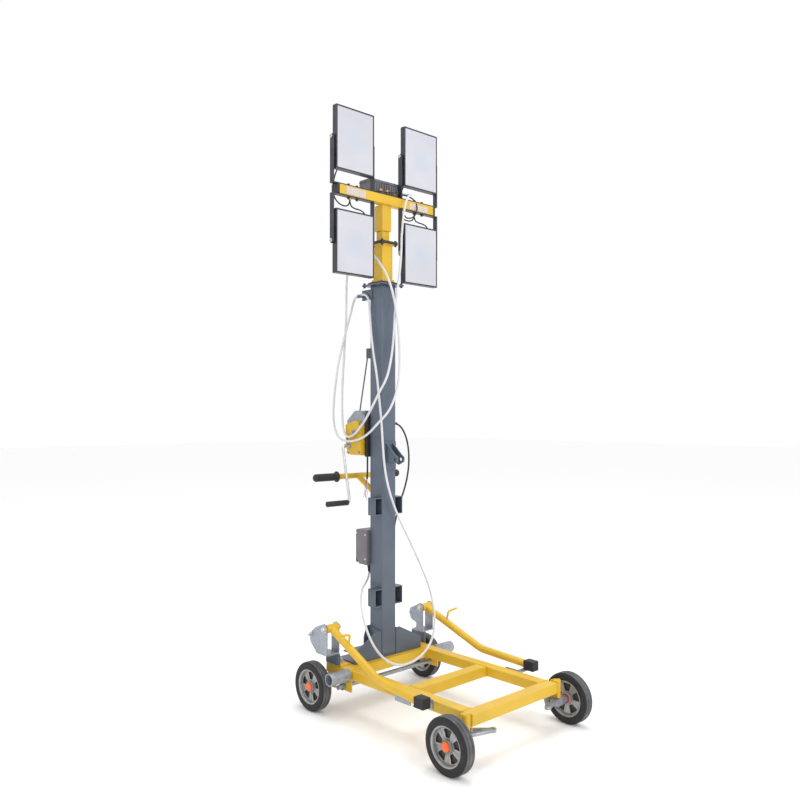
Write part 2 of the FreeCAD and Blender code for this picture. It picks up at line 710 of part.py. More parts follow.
# Lamps in their yokes: two above the bar and two below it
yokes = []
ARM_INNER = "(lamp_width/2 + yoke_gap)"
for level, lamp_z, up in (("upper", "upper_lamp_z", 1), ("lower", "lower_lamp_z", -1)):
    for side, sign in SIDES:
        x = "lamp_x" if sign > 0 else "-lamp_x"
        name = level + "_" + side
        base_z = BAR_TOP if up > 0 else BAR_BOTTOM + " - yoke_thick"
        base = box(
            ("2*%s + 2*yoke_thick" % ARM_INNER, "yoke_width", "yoke_thick"),
            ("%s - %s - yoke_thick" % (x, ARM_INNER), LAMP_Y + " - yoke_width/2", base_z))
        arms = [base]
        for arm_start in ("%s - %s - yoke_thick" % (x, ARM_INNER), "%s + %s" % (x, ARM_INNER)):
            if up > 0:
                span = "(%s - %s)" % (lamp_z, BAR_TOP)
                bottom = BAR_TOP
            else:
                span = "(%s - %s)" % (BAR_BOTTOM, lamp_z)
                bottom = lamp_z
            arms.append(box(("yoke_thick", "yoke_width", span), (arm_start, LAMP_Y + " - yoke_width/2", bottom)))
            arms.append(rod("x", "yoke_width/2", "yoke_thick", (arm_start, LAMP_Y, lamp_z)))
        holes = rod("x", "lamp_pin_radius + lamp_pin_play", "2*%s + 4*yoke_thick" % ARM_INNER, ("%s - %s - 2*yoke_thick" % (x, ARM_INNER), LAMP_Y, lamp_z))
        yokes.append(cut(fuse(arms), holes))

        front_y = LAMP_Y + " - lamp_depth + 6"
        shell = box(("lamp_width", "lamp_depth - lamp_lens", "lamp_height"), (x + " - lamp_width/2", front_y + " + lamp_lens", lamp_z + " - lamp_height/2"))
        rim = box(("lamp_width", "lamp_lens", "lamp_height"), (x + " - lamp_width/2", front_y, lamp_z + " - lamp_height/2"))
        recess = box(
            ("lamp_width - 2*lamp_bezel", "lamp_lens", "lamp_height - 2*lamp_bezel"),
            (x + " - lamp_width/2 + lamp_bezel", front_y, lamp_z + " - lamp_height/2 + lamp_bezel"))
        pieces = [shell, cut(rim, recess)]
        fins = int(round(value("lamp_fin_count")))
        for number in range(fins):
            share = (number + 0.5) / fins
            pieces.append(box(
                ("lamp_fin_thick", "lamp_fin_depth", "lamp_height*0.72"),
                ("%s + (lamp_width - 30)*%.4f - (lamp_width - 30)/2 - lamp_fin_thick/2" % (x, share), front_y + " + lamp_depth", lamp_z + " - lamp_height*0.36")))
        pins = rod("x", "lamp_pin_radius", "2*%s + 2*yoke_thick + 6" % ARM_INNER, ("%s - %s - yoke_thick - 3" % (x, ARM_INNER), LAMP_Y, lamp_z))
        boss = rod("x", "lamp_boss_radius", "lamp_width + 2*yoke_gap - 0.6", (x + " - lamp_width/2 - yoke_gap + 0.3", LAMP_Y, lamp_z))
        node("lamp_" + name, fuse(pieces + [boss, pins]))
        node("lens_" + name, box(
            ("lamp_width - 2*lamp_bezel - 0.4", "lamp_lens - 0.5", "lamp_height - 2*lamp_bezel - 0.4"),
            (x + " - lamp_width/2 + lamp_bezel + 0.2", front_y + " + 0.5", lamp_z + " - lamp_height/2 + lamp_bezel + 0.2")))

node("lamp_yokes", fuse(yokes))

# Push handle: a stem from the mast's rear face to a cross bar with two grips
stem, stem_length, stem_radii = bent_rod([
    (0, value(MAST_REAR) , value("stem_foot_z")),
    (0, value(HANDLE_Y) - 50, value("(stem_foot_z + handle_z)/2") + 8),
    (0, value(HANDLE_Y), value("handle_z")),
], value("handle_radius"))
stem_clear = Part.makeBox(400, value("mast_side"), 400, FreeCAD.Vector(-200, value(MAST_FRONT), value("stem_foot_z") - 200))
bar = rod("x", "handle_radius", "2*handle_half - 6", ("-handle_half + 3", HANDLE_Y, "handle_z"))
doc.recompute()
node("push_handle", fuse([coded(stem.cut(stem_clear)), bar]))
grips = []
for side, sign in SIDES:
    start = "handle_half - grip_length" if sign > 0 else "-handle_half"
    body = rod("x", "grip_radius", "grip_length", (start, HANDLE_Y, "handle_z"))
    flange_start = "handle_half - grip_length" if sign > 0 else "-handle_half + grip_length - grip_flange"
    flange = rod("x", "grip_flange_radius", "grip_flange", (flange_start, HANDLE_Y, "handle_z"))
    whole = fuse([body, flange])
    bore = rod("x", "handle_radius", "grip_length - 3", ("handle_half - grip_length" if sign > 0 else "-handle_half + 3", HANDLE_Y, "handle_z"))
    grips.append(cut(whole, bore))
node("handle_grips", fuse(grips))

# Winch on the mast's rear face: pad, two side plates, gear cover, drum and crank
WINCH_START = MAST_REAR
node("winch_pad", box(("2*winch_half", "winch_pad", "winch_height + 30"), ("-winch_half", WINCH_START, "winch_bottom - 5")))
PLATE_START = "(%s + winch_pad)" % WINCH_START
winch_outline = [
    ("0", "winch_bottom"), ("winch_depth*0.75", "winch_bottom"), ("winch_depth - 4", "winch_bottom + 30"),
    ("winch_depth - 4", "winch_bottom + winch_height"), ("winch_depth*0.55", "winch_bottom + winch_height + 44"), ("0", "winch_bottom + winch_height + 44"),
]
winch_parts = [box(("2*winch_half - 4", "winch_plate", "winch_height + 44"), ("-winch_half + 2", PLATE_START, "winch_bottom"))]
for side, sign in SIDES:
    x = "winch_half - winch_plate/2 - 2" if sign > 0 else "-winch_half + winch_plate/2 + 2"
    winch_parts.append(plate("yz", winch_outline, "winch_plate", (x, PLATE_START, 0)))
crank_hole = rod("x", "crank_shaft_radius + axle_play", "4*winch_half", ("-2*winch_half", CRANK_Y, CRANK_Z))
drum_hole = rod("x", "axle_radius + axle_play", "4*winch_half", ("-2*winch_half", DRUM_Y, DRUM_Z))
node("winch_frame", cut(fuse(winch_parts), fuse([crank_hole, drum_hole])))
cover_outline = [
    ("2", "winch_bottom + 2"), ("cover_depth*0.72", "winch_bottom + 2"), ("cover_depth", "winch_bottom + 34"),
    ("cover_depth", "winch_bottom + winch_height - 18"), ("cover_depth*0.35", "winch_bottom + winch_height"), ("2", "winch_bottom + winch_height - 26"),
]
cover = plate("yz", cover_outline, "cover_thick", ("-winch_half + 2 - cover_thick/2", PLATE_START, 0))
cover_hole = rod("x", "crank_shaft_radius + axle_play", "2*cover_thick", ("-winch_half - 1.5*cover_thick", CRANK_Y, CRANK_Z))
drum_pocket = rod("x", "axle_radius + 2", "6", ("-winch_half + 2 - 6", DRUM_Y, DRUM_Z))
node("winch_cover", cut(cut(cover, cover_hole), drum_pocket))
drum = [
    rod("x", "drum_radius", "2*drum_half", ("-drum_half", DRUM_Y, DRUM_Z)),
    rod("x", "drum_cheek", "drum_cheek_thick", ("-drum_half - drum_cheek_thick", DRUM_Y, DRUM_Z)),
    rod("x", "drum_cheek", "drum_cheek_thick", ("drum_half", DRUM_Y, DRUM_Z)),
    rod("x", "axle_radius", "2*winch_half", ("-winch_half", DRUM_Y, DRUM_Z)),
]
node("winch_drum", fuse(drum))
lean = math.radians(value("crank_lean"))
crank_tip = (value(CRANK_Y) - value("crank_arm") * math.sin(lean), value(CRANK_Z) - value("crank_arm") * math.cos(lean))
plane_x = -value("crank_plane")
grip_end = plane_x - value("crank_grip_length") - 8
crank_shape, crank_length, crank_radii = bent_rod([
    (-value("winch_half") + 10, value(CRANK_Y), value(CRANK_Z)),
    (plane_x, value(CRANK_Y), value(CRANK_Z)),
    (plane_x, crank_tip[0], crank_tip[1]),
    (grip_end, crank_tip[0], crank_tip[1]),
], value("crank_arm_radius"), 14)
crank_shaft = rod("x", "crank_shaft_radius", "2*winch_half + crank_plane - winch_half - 14", ("-crank_plane + 14", CRANK_Y, CRANK_Z))
doc.recompute()
node("winch_crank", fuse([coded(crank_shape), crank_shaft]))
grip_body = rod("x", "crank_grip_radius", "crank_grip_length", (0, 0, 0))
grip_bore = rod("x", "crank_arm_radius", "crank_grip_length - 4", (4, 0, 0))
grip_whole = cut(grip_body, grip_bore)
grip_whole.Placement.Base = FreeCAD.Vector(grip_end - 4, crank_tip[0], crank_tip[1])
node("crank_grip", grip_whole)

# Lifting rope from the drum's rear side up to a small pulley on the mast's rear face
PULLEY_Y = "(%s + pulley_back)" % MAST_REAR
rope_r = value("rope_radius")
rope_play = 0.3
low_reach = value("drum_radius") + rope_r + rope_play
high_reach = value("pulley_radius") + rope_r - rope_play
run_y = value(PULLEY_Y) - value(DRUM_Y)
run_z = value("pulley_z") - value(DRUM_Z)
run = math.hypot(run_y, run_z)
tilt = math.atan2(run_z, run_y) - math.acos((low_reach - high_reach) / run)
rope_foot = FreeCAD.Vector(-value("rope_x"), value(DRUM_Y) + low_reach * math.cos(tilt), value(DRUM_Z) + low_reach * math.sin(tilt))
rope_head = FreeCAD.Vector(-value("rope_x"), value(PULLEY_Y) + high_reach * math.cos(tilt), value("pulley_z") + high_reach * math.sin(tilt))
rope_line = rope_head - rope_foot
lift_rope = coded(Part.makeCylinder(rope_r, rope_line.Length, rope_foot, rope_line))
fork = [
    box(("fork_plate", "pulley_back + 8", "44"), (start, MAST_REAR, "pulley_z - 22"))
    for start in ("-rope_x - pulley_half - fork_plate", "-rope_x + pulley_half")]
pulley = rod("x", "pulley_radius", "2*pulley_half", ("-rope_x - pulley_half", PULLEY_Y, "pulley_z"))
node("lift_rope", fuse(fork + [pulley, lift_rope]))

# Control box with a cut-off lower rear corner, on the mast's rear face
control_outline = [
    ("0", "control_bottom"), ("control_depth - control_chamfer*0.8", "control_bottom"), ("control_depth", "control_bottom + control_chamfer"),
    ("control_depth", "control_bottom + control_height"), ("0", "control_bottom + control_height"),
]
node("control_box", plate("yz", control_outline, "2*control_half", (0, MAST_REAR, 0)))
CONTROL_GLAND_Y = "(%s + control_depth*0.45)" % MAST_REAR
control_glands = [
    rod("z", "gland_radius", "gland_length", ("-15", CONTROL_GLAND_Y, "control_bottom - gland_length")),
    rod("x", "gland_radius", "gland_length", ("control_half", MAST_REAR + " + 24", "control_bottom + control_height*0.7")),
    rod("x", "gland_radius", "gland_length", ("mast_side/2", MAST_Y, "1190")),
]
node("cable_glands", fuse(control_glands))

# Side pockets on the mast's left and right faces
pockets = []
for side, sign in SIDES:
    for pocket_z in ("upper_pocket_z", "lower_pocket_z"):
        start = "mast_side/2" if sign > 0 else "-mast_side/2 - pocket_out"
        outer = box(("pocket_out", "pocket_depth", "pocket_height"), (start, MAST_FRONT, pocket_z))
        hollow_start = "mast_side/2" if sign > 0 else "-mast_side/2 - pocket_out + pocket_wall"
        hollow = box(
            ("pocket_out - pocket_wall", "pocket_depth - pocket_wall", "pocket_height - 2*pocket_wall"),
            (hollow_start, MAST_FRONT, pocket_z + " + pocket_wall"))
        pockets.append(cut(outer, hollow))

# Clevis on the mast's front face, with a hole across its two ears
clevis_parts = [box(("clevis_plate_width", "clevis_thick", "clevis_plate_height"), ("-clevis_plate_width/2", MAST_FRONT + " - clevis_thick", "clevis_z"))]
ear = [
    ("0", "clevis_z + 34"), ("-clevis_reach + 18", "clevis_z + 20"), ("-clevis_reach - 12", "clevis_z + 34"), ("-clevis_reach - 14", "clevis_z + 54"),
    ("-clevis_reach + 4", "clevis_z + 66"), ("0", "clevis_z + clevis_plate_height - 6"),
]
for side, sign in SIDES:
    x = "clevis_ear_x" if sign > 0 else "-clevis_ear_x"
    clevis_parts.append(plate("yz", ear, "clevis_thick", (x, MAST_FRONT + " - clevis_thick", 0)))
clevis_hole = rod("x", "clevis_hole_radius", "4*clevis_ear_x", ("-2*clevis_ear_x", MAST_FRONT + " - clevis_reach", "clevis_z + 44"))
clevis = cut(fuse(clevis_parts), clevis_hole)

# Hook for the cable, on the mast's left face near its top
HOOK_Y = "(%s + hook_back)" % MAST_REAR
HOOK_Z = "(mast_top - hook_drop)"
hook_parts = [
    box(("hook_plate", "hook_back + 28", "46"), ("-mast_side/2 - hook_plate", MAST_REAR + " - 18", HOOK_Z + " - 16")),
    rod("x", "hook_radius", "hook_reach", ("-mast_side/2 - hook_plate - hook_reach", HOOK_Y, HOOK_Z)),
    rod("x", "2*hook_radius", "3", ("-mast_side/2 - hook_plate - hook_reach", HOOK_Y, HOOK_Z)),
]
node("mast_brackets", fuse(pockets + [clevis] + hook_parts))

# Round sockets on the rails' outer sides, and the rod across below them
sockets = []
plates = []
for side, sign in SIDES:
    start = "rail_outer_x + side_plate_thick" if sign > 0 else "-rail_outer_x - side_plate_thick - socket_tube_reach"
    sockets.append(tube("x", "socket_tube_radius", "socket_tube_wall", "socket_tube_reach", (start, from_rear("socket_tube_ahead"), "frame_top - rail_height/2")))
    plate_start = "rail_outer_x" if sign > 0 else "-rail_outer_x - side_plate_thick"
    blank = box(("side_plate_thick", "72", "frame_top - tie_rod_z + 16"), (plate_start, from_rear("socket_tube_ahead") + " - 20", "tie_rod_z - 16"))
    plates.append(cut(blank, rod("x", "tie_rod_radius", "side_plate_thick", (plate_start, from_rear("tie_rod_ahead"), "tie_rod_z"))))
node("socket_tubes", fuse(sockets))
node("frame_brackets", fuse(corner_plates + hangers + sleeves + plates))
tie_parts = [rod("x", "tie_rod_radius", "2*tie_rod_half", ("-tie_rod_half", from_rear("tie_rod_ahead"), "tie_rod_z"))]
for side, sign in SIDES:
    start = "rail_outer_x + side_plate_thick" if sign > 0 else "-rail_outer_x - side_plate_thick - 12"
    tie_parts.append(rod("x", "tie_rod_radius + 6", "12", (start, from_rear("tie_rod_ahead"), "tie_rod_z")))
node("cross_rod", fuse(tie_parts))

# Stabiliser arm brackets at the rear corners: narrow block, floor, a cam-shaped cheek and a strip cheek.
# Both brackets are of one hand: the cheek towards -x is the cam, the one towards +x is the strip.
CHEEK_BASE = "(frame_top + corner_plate + block_height)"
CAMS = {
    "left": [
        ("-13", CHEEK_BASE), ("cam_base", CHEEK_BASE), ("76", "arm_pivot_z - 93"), ("101", "arm_pivot_z - 71"), ("107", "arm_pivot_z - 52"),
        ("94", "arm_pivot_z - 24"), ("68", "arm_pivot_z - 3"), ("8", "arm_pivot_z + 21"), ("-13", "arm_pivot_z + 14"),
    ],
    "right": [
        ("-13", CHEEK_BASE), ("cam_base + 6", CHEEK_BASE), ("32", CHEEK_BASE + " + 16"), ("32", "arm_pivot_z - 74"), ("66", "arm_pivot_z - 62"),
        ("79", "arm_pivot_z - 36"), ("73", "arm_pivot_z - 13"), ("22", "arm_pivot_z + 12"), ("8", "arm_pivot_z + 21"), ("-13", "arm_pivot_z + 14"),
    ],
}
strip = [
    ("-13", CHEEK_BASE), ("strip_depth - 13", CHEEK_BASE), ("strip_depth - 13", "arm_pivot_z - 8"),
    ("strip_depth - 24", "arm_pivot_z + 12"), ("8", "arm_pivot_z + 21"), ("-13", "arm_pivot_z + 14"),
]
brackets = []
blocks = []
for side, sign in SIDES:
    block_start = "rail_outer_x + 10 - block_width" if sign > 0 else "-rail_outer_x - 10"
    blocks.append(box(("block_width", "block_depth", "block_height"), (block_start, ARM_Y + " - 19", "frame_top + corner_plate")))
    cam_x, strip_x = ("cheek_inner_x", "cheek_outer_x") if sign > 0 else ("-cheek_outer_x", "-cheek_inner_x")
    floor_start = cam_x + " - cheek_thick/2"
    parts = [
        plate("yz", CAMS[side], "cheek_thick", (cam_x, ARM_Y, 0)),
        plate("yz", strip, "cheek_thick", (strip_x, ARM_Y, 0)),
        box(("cheek_outer_x - cheek_inner_x + cheek_thick", "cam_base + 13", "bracket_floor"), (floor_start, ARM_Y + " - 13", CHEEK_BASE)),
    ]
    joined = fuse(parts)
    hole_start = "cheek_inner_x - 20" if sign > 0 else "-cheek_outer_x - 20"
    brackets.append(cut(joined, rod("x", "arm_pivot_radius + arm_pivot_play", "cheek_outer_x - cheek_inner_x + 40", (hole_start, ARM_Y, "arm_pivot_z"))))
node("bracket_blocks", fuse(blocks))
node("arm_brackets", fuse(brackets))

# Stabiliser arms: pivot hub and pin, bent tube, small hand rod and rubber foot
hub_mid = value("(cheek_inner_x + cheek_outer_x)/2")
hub_half = value("(cheek_outer_x - cheek_inner_x)/2 - cheek_thick/2 - 0.5")
arm_y = value(ARM_Y)
pivot_z = value("arm_pivot_z")
rear_y = value(REAR_AXLE_Y)
arm_r = value("arm_tube_radius")
foot_ahead = value("wheelbase - foot_from_front")
foot_x = value("foot_x")
foot_z = value("foot_z")
ARM_POINTS = (
    # out, ahead of the rear axle, height
    (hub_mid, value("arm_pivot_ahead"), pivot_z),
    (value("arm_bend_x"), foot_ahead - value("arm_bend_from_foot"), value("arm_bend_z")),
    (foot_x, foot_ahead + 2, foot_z),
)
for side, sign in SIDES:
    run = [(sign * x, rear_y - ahead, z) for x, ahead, z in ARM_POINTS]
    tube_shape, arm_length, arm_radii = bent_rod(run, arm_r, value("arm_bend_radius"))
    hub = Part.makeCylinder(value("arm_hub_radius"), 2 * hub_half, FreeCAD.Vector(sign * hub_mid - hub_half, arm_y, pivot_z), FreeCAD.Vector(1, 0, 0))
    pin_half = hub_half + value("cheek_thick") + 8
    pin = Part.makeCylinder(value("arm_pivot_radius"), 2 * pin_half, FreeCAD.Vector(sign * hub_mid - pin_half, arm_y, pivot_z), FreeCAD.Vector(1, 0, 0))
    along = FreeCAD.Vector(*run[1]) - FreeCAD.Vector(*run[0])
    foot = FreeCAD.Vector(*run[0]) + along.normalize() * value("hand_rod_along")
    rise = value("hand_rod_height")
    reach = value("hand_rod_reach")
    hand, hand_length, hand_radii = bent_rod([
        (foot.x, foot.y, foot.z),
        (foot.x, foot.y - rise / 5, foot.z + rise),
        (foot.x + sign * reach, foot.y - rise / 4, foot.z + rise * 1.14),
    ], value("hand_rod_radius"), 12)
    node("arm_" + side, coded(tube_shape.fuse([hub, pin, hand])))
    foot_start = rear_y - foot_ahead - value("foot_length")
    half_foot = value("foot_side") / 2
    pad_corner = FreeCAD.Vector(sign * foot_x - half_foot, foot_start, foot_z - half_foot)
    pad = Part.makeBox(2 * half_foot, value("foot_length"), 2 * half_foot, pad_corner)
    node("arm_foot_" + side, coded(pad.cut(tube_shape)))

# Cradles on the rails' outer sides: a wall beside each foot, a ledge under it and a plate behind it
cradles = []
foot_bottom = foot_z - value("foot_side") / 2
seat_gap = 0.3
rail_top = value("frame_top")
rail_foot = rail_top - value("rail_height")
for side, sign in SIDES:
    thick = value("cradle_thick")
    start_x = value("rail_outer_x")
    foot_far = rear_y - foot_ahead - value("foot_length")
    wall_far = foot_far + value("cradle_wall_short")
    wall_z = rail_foot + 2 * thick
    wall = Part.makeBox(thick, value("cradle_wall"), rail_top + thick - wall_z, FreeCAD.Vector(start_x, wall_far, wall_z))
    ledge_z = foot_bottom - seat_gap - thick
    ledge = Part.makeBox(foot_x + value("foot_side") / 4 - start_x, value("foot_length") * 0.6, thick, FreeCAD.Vector(start_x, wall_far, ledge_z))
    plate_foot = rail_foot - value("cradle_plate_below")
    plate_far = foot_far + value("cradle_plate_behind")
    behind = Part.makeBox(thick, value("cradle_plate"), rail_top - thick - plate_foot, FreeCAD.Vector(start_x, plate_far, plate_foot))
    shape = wall.fuse([ledge]).removeSplitter()
    for piece in (shape, behind):
        if sign < 0:
            piece = piece.mirror(FreeCAD.Vector(), FreeCAD.Vector(1, 0, 0))
        cradles.append(coded(piece))
node("arm_cradles", fuse(cradles))

# Cables, each along points chosen by hand: across, ahead of the rear axle, height
gland_tip = value("box_shift + box_width/2 + gland_length")
UPPER_CABLE = [
    (gland_tip, 46, 2235.5), (121, 46, 2235.5), (143, 50.5, 2234), (154, 69, 2230), (151, 93, 2225), (133, 113, 2219),
    (110, 129, 2209), (88, 140, 2192), (72, 144, 2166), (63, 144, 2130), (57, 143, 2090), (51, 145, 2050), (45, 146, 2006),
    (40, 151, 1958), (32, 155, 1900), (22, 156, 1830),
    (8, 155, 1755), (-2, 155, 1680), (-7, 156, 1605), (-14, 155, 1525), (-30, 157, 1450), (-56, 162, 1382), (-84, 143, 1322),
    (-90, 108, 1264), (-88, 66, 1214), (-87, 24, 1172), (-87, -14, 1143), (-87, -50, 1128), (-87, -82, 1136), (-87, -98, 1170),
    (-87, -103, 1232), (-87, -104, 1305), (-88, -99, 1390), (-85, -93, 1480), (-86, -84, 1570), (-90, -72, 1650), (-94, -66, 1730),
    (-96, -63, 1800), (-93, -60, 1868), (-84, -44, 1922), (-70, -8, 1950), (-60, 38, 1944), (-58, 82, 1922), (-57, 120, 1882),
    (-44, 148, 1834), (-28, 162, 1775), (-12, 168, 1705), (2, 168, 1632), (13, 166, 1557), (20, 163, 1480), (20, 160, 1405),
    (8, 158, 1335), (-18, 158, 1276), (-54, 162, 1232), (-84, 142, 1196), (-91, 104, 1160), (-92, 60, 1134), (-92, 12, 1118),
    (-92, -38, 1110), (-92, -88, 1112), (-92, -130, 1132), (-92, -154, 1172), (-92, -162, 1228), (-92, -157, 1296), (-93, -144, 1366),
    (-97, -124, 1436), (-100, -98, 1505), (-97, -78, 1568), (-86, -65, 1630), (-73, -59, 1683), (-65, -56, 1720), (-62, -50, 1741),
    (-60, -38, 1755), (-59, -21, 1760), (-59, -5, 1760),
]
LOWER_CABLE = [
    (-59, -4.7, 1760), (-59, 11, 1760), (-58, 28, 1755), (-57, 40, 1741), (-57, 46, 1720), (-56, 50, 1682), (-56, 55, 1628),
    (-57, 65, 1558), (-57, 80, 1478), (-56, 98, 1400),
    (-59, 113, 1320), (-60, 127, 1240), (-60, 136, 1160), (-58, 141, 1080), (-50, 142, 1000), (-32, 142, 925), (-6, 142, 855),
    (28, 144, 785), (66, 150, 715), (104, 160, 640), (140, 172, 560), (172, 184, 480), (190, 196, 397), (190, 208, 322),
    (168, 219, 258), (122, 228, 212), (62, 232, 184), (0, 233, 174), (-58, 229, 180), (-108, 216, 206), (-144, 191, 254),
    (-160, 157, 320), (-154, 116, 392), (-128, 76, 446), (-92, 44, 478), (-56, 20, 487), (-29, 4, 500), (-15, 0.25, 524), (-15, 0.25, 556),
]
BLACK_CABLE = [
    (54, 74, 1190), (84, 74, 1190), (118, 73, 1168), (146, 71, 1124), (162, 68, 1070), (168, 64, 1010), (164, 58, 948),
    (152, 50, 890), (137, 40, 838), (126, 32, 792), (122, 24, 752), (120, 16, 715), (110, 10, 686), (92, 10, 676.4), (74, 10, 676.4),
]
SWITCH_CABLE = [(-46, 24, 1044), (-46, 24, 1012), (-45, 23, 977), (-46, 21, 945)]
radius_report = []
for name, points, size in (
        ("cable_upper", UPPER_CABLE, "cable_radius"), ("cable_lower", LOWER_CABLE, "cable_radius"),
        ("cable_black", BLACK_CABLE, "black_cable_radius"), ("cable_switch", SWITCH_CABLE, "switch_cable_radius")):
    spots = [(x, rear_y - ahead, z) for x, ahead, z in points]
    shape, cord_length, radii = bent_rod(spots, value(size))
    node(name, coded(shape))
    radius_report.append("%s length %.0f, radii from %.0f to %.0f" % (name, cord_length, min(radii), max(radii)))

doc.recompute()

for thing in doc.Objects:
    if "Invalid" in thing.State or "Error" in thing.State:
        raise RuntimeError("%s (%s) is in state %s" % (thing.Name, thing.Label, thing.State))
for name, thing in NODES.items():
    if thing.Shape.isNull() or not thing.Shape.isValid():
        raise RuntimeError(name + " has no valid shape")

os.makedirs("parts", exist_ok=True)
for name, thing in NODES.items():
    thing.Shape.exportStep("parts/%s.step" % name)
print(len(NODES), "nodes")
for line in radius_report:
    print(line)
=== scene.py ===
import math
import random

import bmesh
import bpy
from mathutils import Matrix, Vector


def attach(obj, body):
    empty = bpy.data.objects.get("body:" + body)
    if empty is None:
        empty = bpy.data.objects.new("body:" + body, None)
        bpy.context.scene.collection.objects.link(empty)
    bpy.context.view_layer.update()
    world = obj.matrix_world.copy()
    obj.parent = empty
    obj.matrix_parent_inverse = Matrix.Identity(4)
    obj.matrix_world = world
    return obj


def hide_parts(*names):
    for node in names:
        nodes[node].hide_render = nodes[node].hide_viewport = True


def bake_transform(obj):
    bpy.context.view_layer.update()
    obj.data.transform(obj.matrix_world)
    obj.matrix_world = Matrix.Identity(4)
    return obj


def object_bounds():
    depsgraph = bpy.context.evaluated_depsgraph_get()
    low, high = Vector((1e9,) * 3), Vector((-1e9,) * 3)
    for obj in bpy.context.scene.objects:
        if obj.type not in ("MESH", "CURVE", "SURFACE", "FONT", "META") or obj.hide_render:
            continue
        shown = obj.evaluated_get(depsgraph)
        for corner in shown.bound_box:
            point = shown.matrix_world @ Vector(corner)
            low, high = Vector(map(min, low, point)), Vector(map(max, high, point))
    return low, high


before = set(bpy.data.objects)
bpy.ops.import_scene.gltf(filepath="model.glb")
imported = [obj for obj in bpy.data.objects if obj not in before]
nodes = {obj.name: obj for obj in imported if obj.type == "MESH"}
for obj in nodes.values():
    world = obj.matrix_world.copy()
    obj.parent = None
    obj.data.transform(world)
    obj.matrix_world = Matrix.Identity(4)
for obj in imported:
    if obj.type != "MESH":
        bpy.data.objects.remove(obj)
cad_low, cad_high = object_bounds()

# Places in the frame, in metres; outlines and cable points are in millimetres and multiplied by MM
MM = 0.001
WHEEL_RADIUS = 0.100
REAR_WHEEL_X = 0.322
FRONT_WHEEL_X = 0.343
REAR_Y = 0.392
FRONT_Y = REAR_Y - 0.805
MAST_Y = REAR_Y - 0.074
MAST_REAR = MAST_Y + 0.040
BAR_Y = MAST_Y - 0.020
BAR_FRONT = BAR_Y - 0.020
BAR_UNDER = 2.150
LAMP_Y = MAST_Y - 0.024
SIDES = (("left", -1), ("right", 1))
MERGE_GAP = 0.00002

chance = random.Random(7)


# Materials: each mixes two close colours by noise, with its own roughness and fine bump
NOISE_SPAN = (0.32, 0.68)
DIRT_SPAN = (0.56, 0.78)
ROUGH_SPREAD = 0.1


def mix_node(tree):
    node = tree.nodes.new("ShaderNodeMix")
    node.data_type = "RGBA"
    return node


def finish_material(name, dark, light, rough, metal=0.0, scale=18.0, grain=400.0, bump=0.08,
                    spangle=0.0, dirt=None, dirt_scale=9.0, dirt_amount=0.0, coat=0.0):
    """scale, grain, spangle and dirt_scale are how fine the colour, bump, zinc crystals and dirt are."""
    made = bpy.data.materials.new(name)
    made.use_nodes = True
    tree = made.node_tree
    shader = tree.nodes["Principled BSDF"]
    shader.inputs["Metallic"].default_value = metal
    shader.inputs["Coat Weight"].default_value = coat
    shader.inputs["Coat Roughness"].default_value = 0.2
    where = tree.nodes.new("ShaderNodeTexCoord")
    large = tree.nodes.new("ShaderNodeTexNoise")
    large.inputs["Scale"].default_value = scale
    large.inputs["Detail"].default_value = 6.0
    tree.links.new(where.outputs["Object"], large.inputs["Vector"])
    mixed = mix_node(tree)
    mixed.inputs["A"].default_value = (*dark, 1.0)
    mixed.inputs["B"].default_value = (*light, 1.0)
    colour_by = large.outputs["Fac"]
    if spangle:
        cells = tree.nodes.new("ShaderNodeTexVoronoi")
        cells.inputs["Scale"].default_value = spangle
        tree.links.new(where.outputs["Object"], cells.inputs["Vector"])
        grey = tree.nodes.new("ShaderNodeSeparateColor")
        tree.links.new(cells.outputs["Color"], grey.inputs["Color"])
        colour_by = grey.outputs["Red"]
    low, high = (0.0, 1.0) if spangle else NOISE_SPAN
    stretch = tree.nodes.new("ShaderNodeMapRange")
    stretch.inputs["From Min"].default_value = low
    stretch.inputs["From Max"].default_value = high
    tree.links.new(colour_by, stretch.inputs["Value"])
    tree.links.new(stretch.outputs["Result"], mixed.inputs["Factor"])
    colour = mixed.outputs["Result"]
    if dirt:
        smudge = tree.nodes.new("ShaderNodeTexNoise")
        smudge.inputs["Scale"].default_value = dirt_scale
        smudge.inputs["Detail"].default_value = 10.0
        smudge.inputs["Roughness"].default_value = 0.7
        tree.links.new(where.outputs["Object"], smudge.inputs["Vector"])
        amount = tree.nodes.new("ShaderNodeMapRange")
        amount.inputs["From Min"].default_value = DIRT_SPAN[0]
        amount.inputs["From Max"].default_value = DIRT_SPAN[1]
        amount.inputs["To Max"].default_value = dirt_amount
        tree.links.new(smudge.outputs["Fac"], amount.inputs["Value"])
        dirty = mix_node(tree)
        dirty.inputs["B"].default_value = (*dirt, 1.0)
        tree.links.new(amount.outputs["Result"], dirty.inputs["Factor"])
        tree.links.new(colour, dirty.inputs["A"])
        colour = dirty.outputs["Result"]
    tree.links.new(colour, shader.inputs["Base Color"])
    fine = tree.nodes.new("ShaderNodeTexNoise")
    fine.inputs["Scale"].default_value = grain
    fine.inputs["Detail"].default_value = 3.0
    tree.links.new(where.outputs["Object"], fine.inputs["Vector"])
    rough_range = tree.nodes.new("ShaderNodeMapRange")
    rough_range.inputs["To Min"].default_value = max(0.05, rough - ROUGH_SPREAD)
    rough_range.inputs["To Max"].default_value = min(1.0, rough + ROUGH_SPREAD)
    tree.links.new(large.outputs["Fac"], rough_range.inputs["Value"])
    tree.links.new(rough_range.outputs["Result"], shader.inputs["Roughness"])
    raised = tree.nodes.new("ShaderNodeBump")
    raised.inputs["Strength"].default_value = bump
    raised.inputs["Distance"].default_value = 0.001
    tree.links.new(fine.outputs["Fac"], raised.inputs["Height"])
    tree.links.new(raised.outputs["Normal"], shader.inputs["Normal"])
    return made


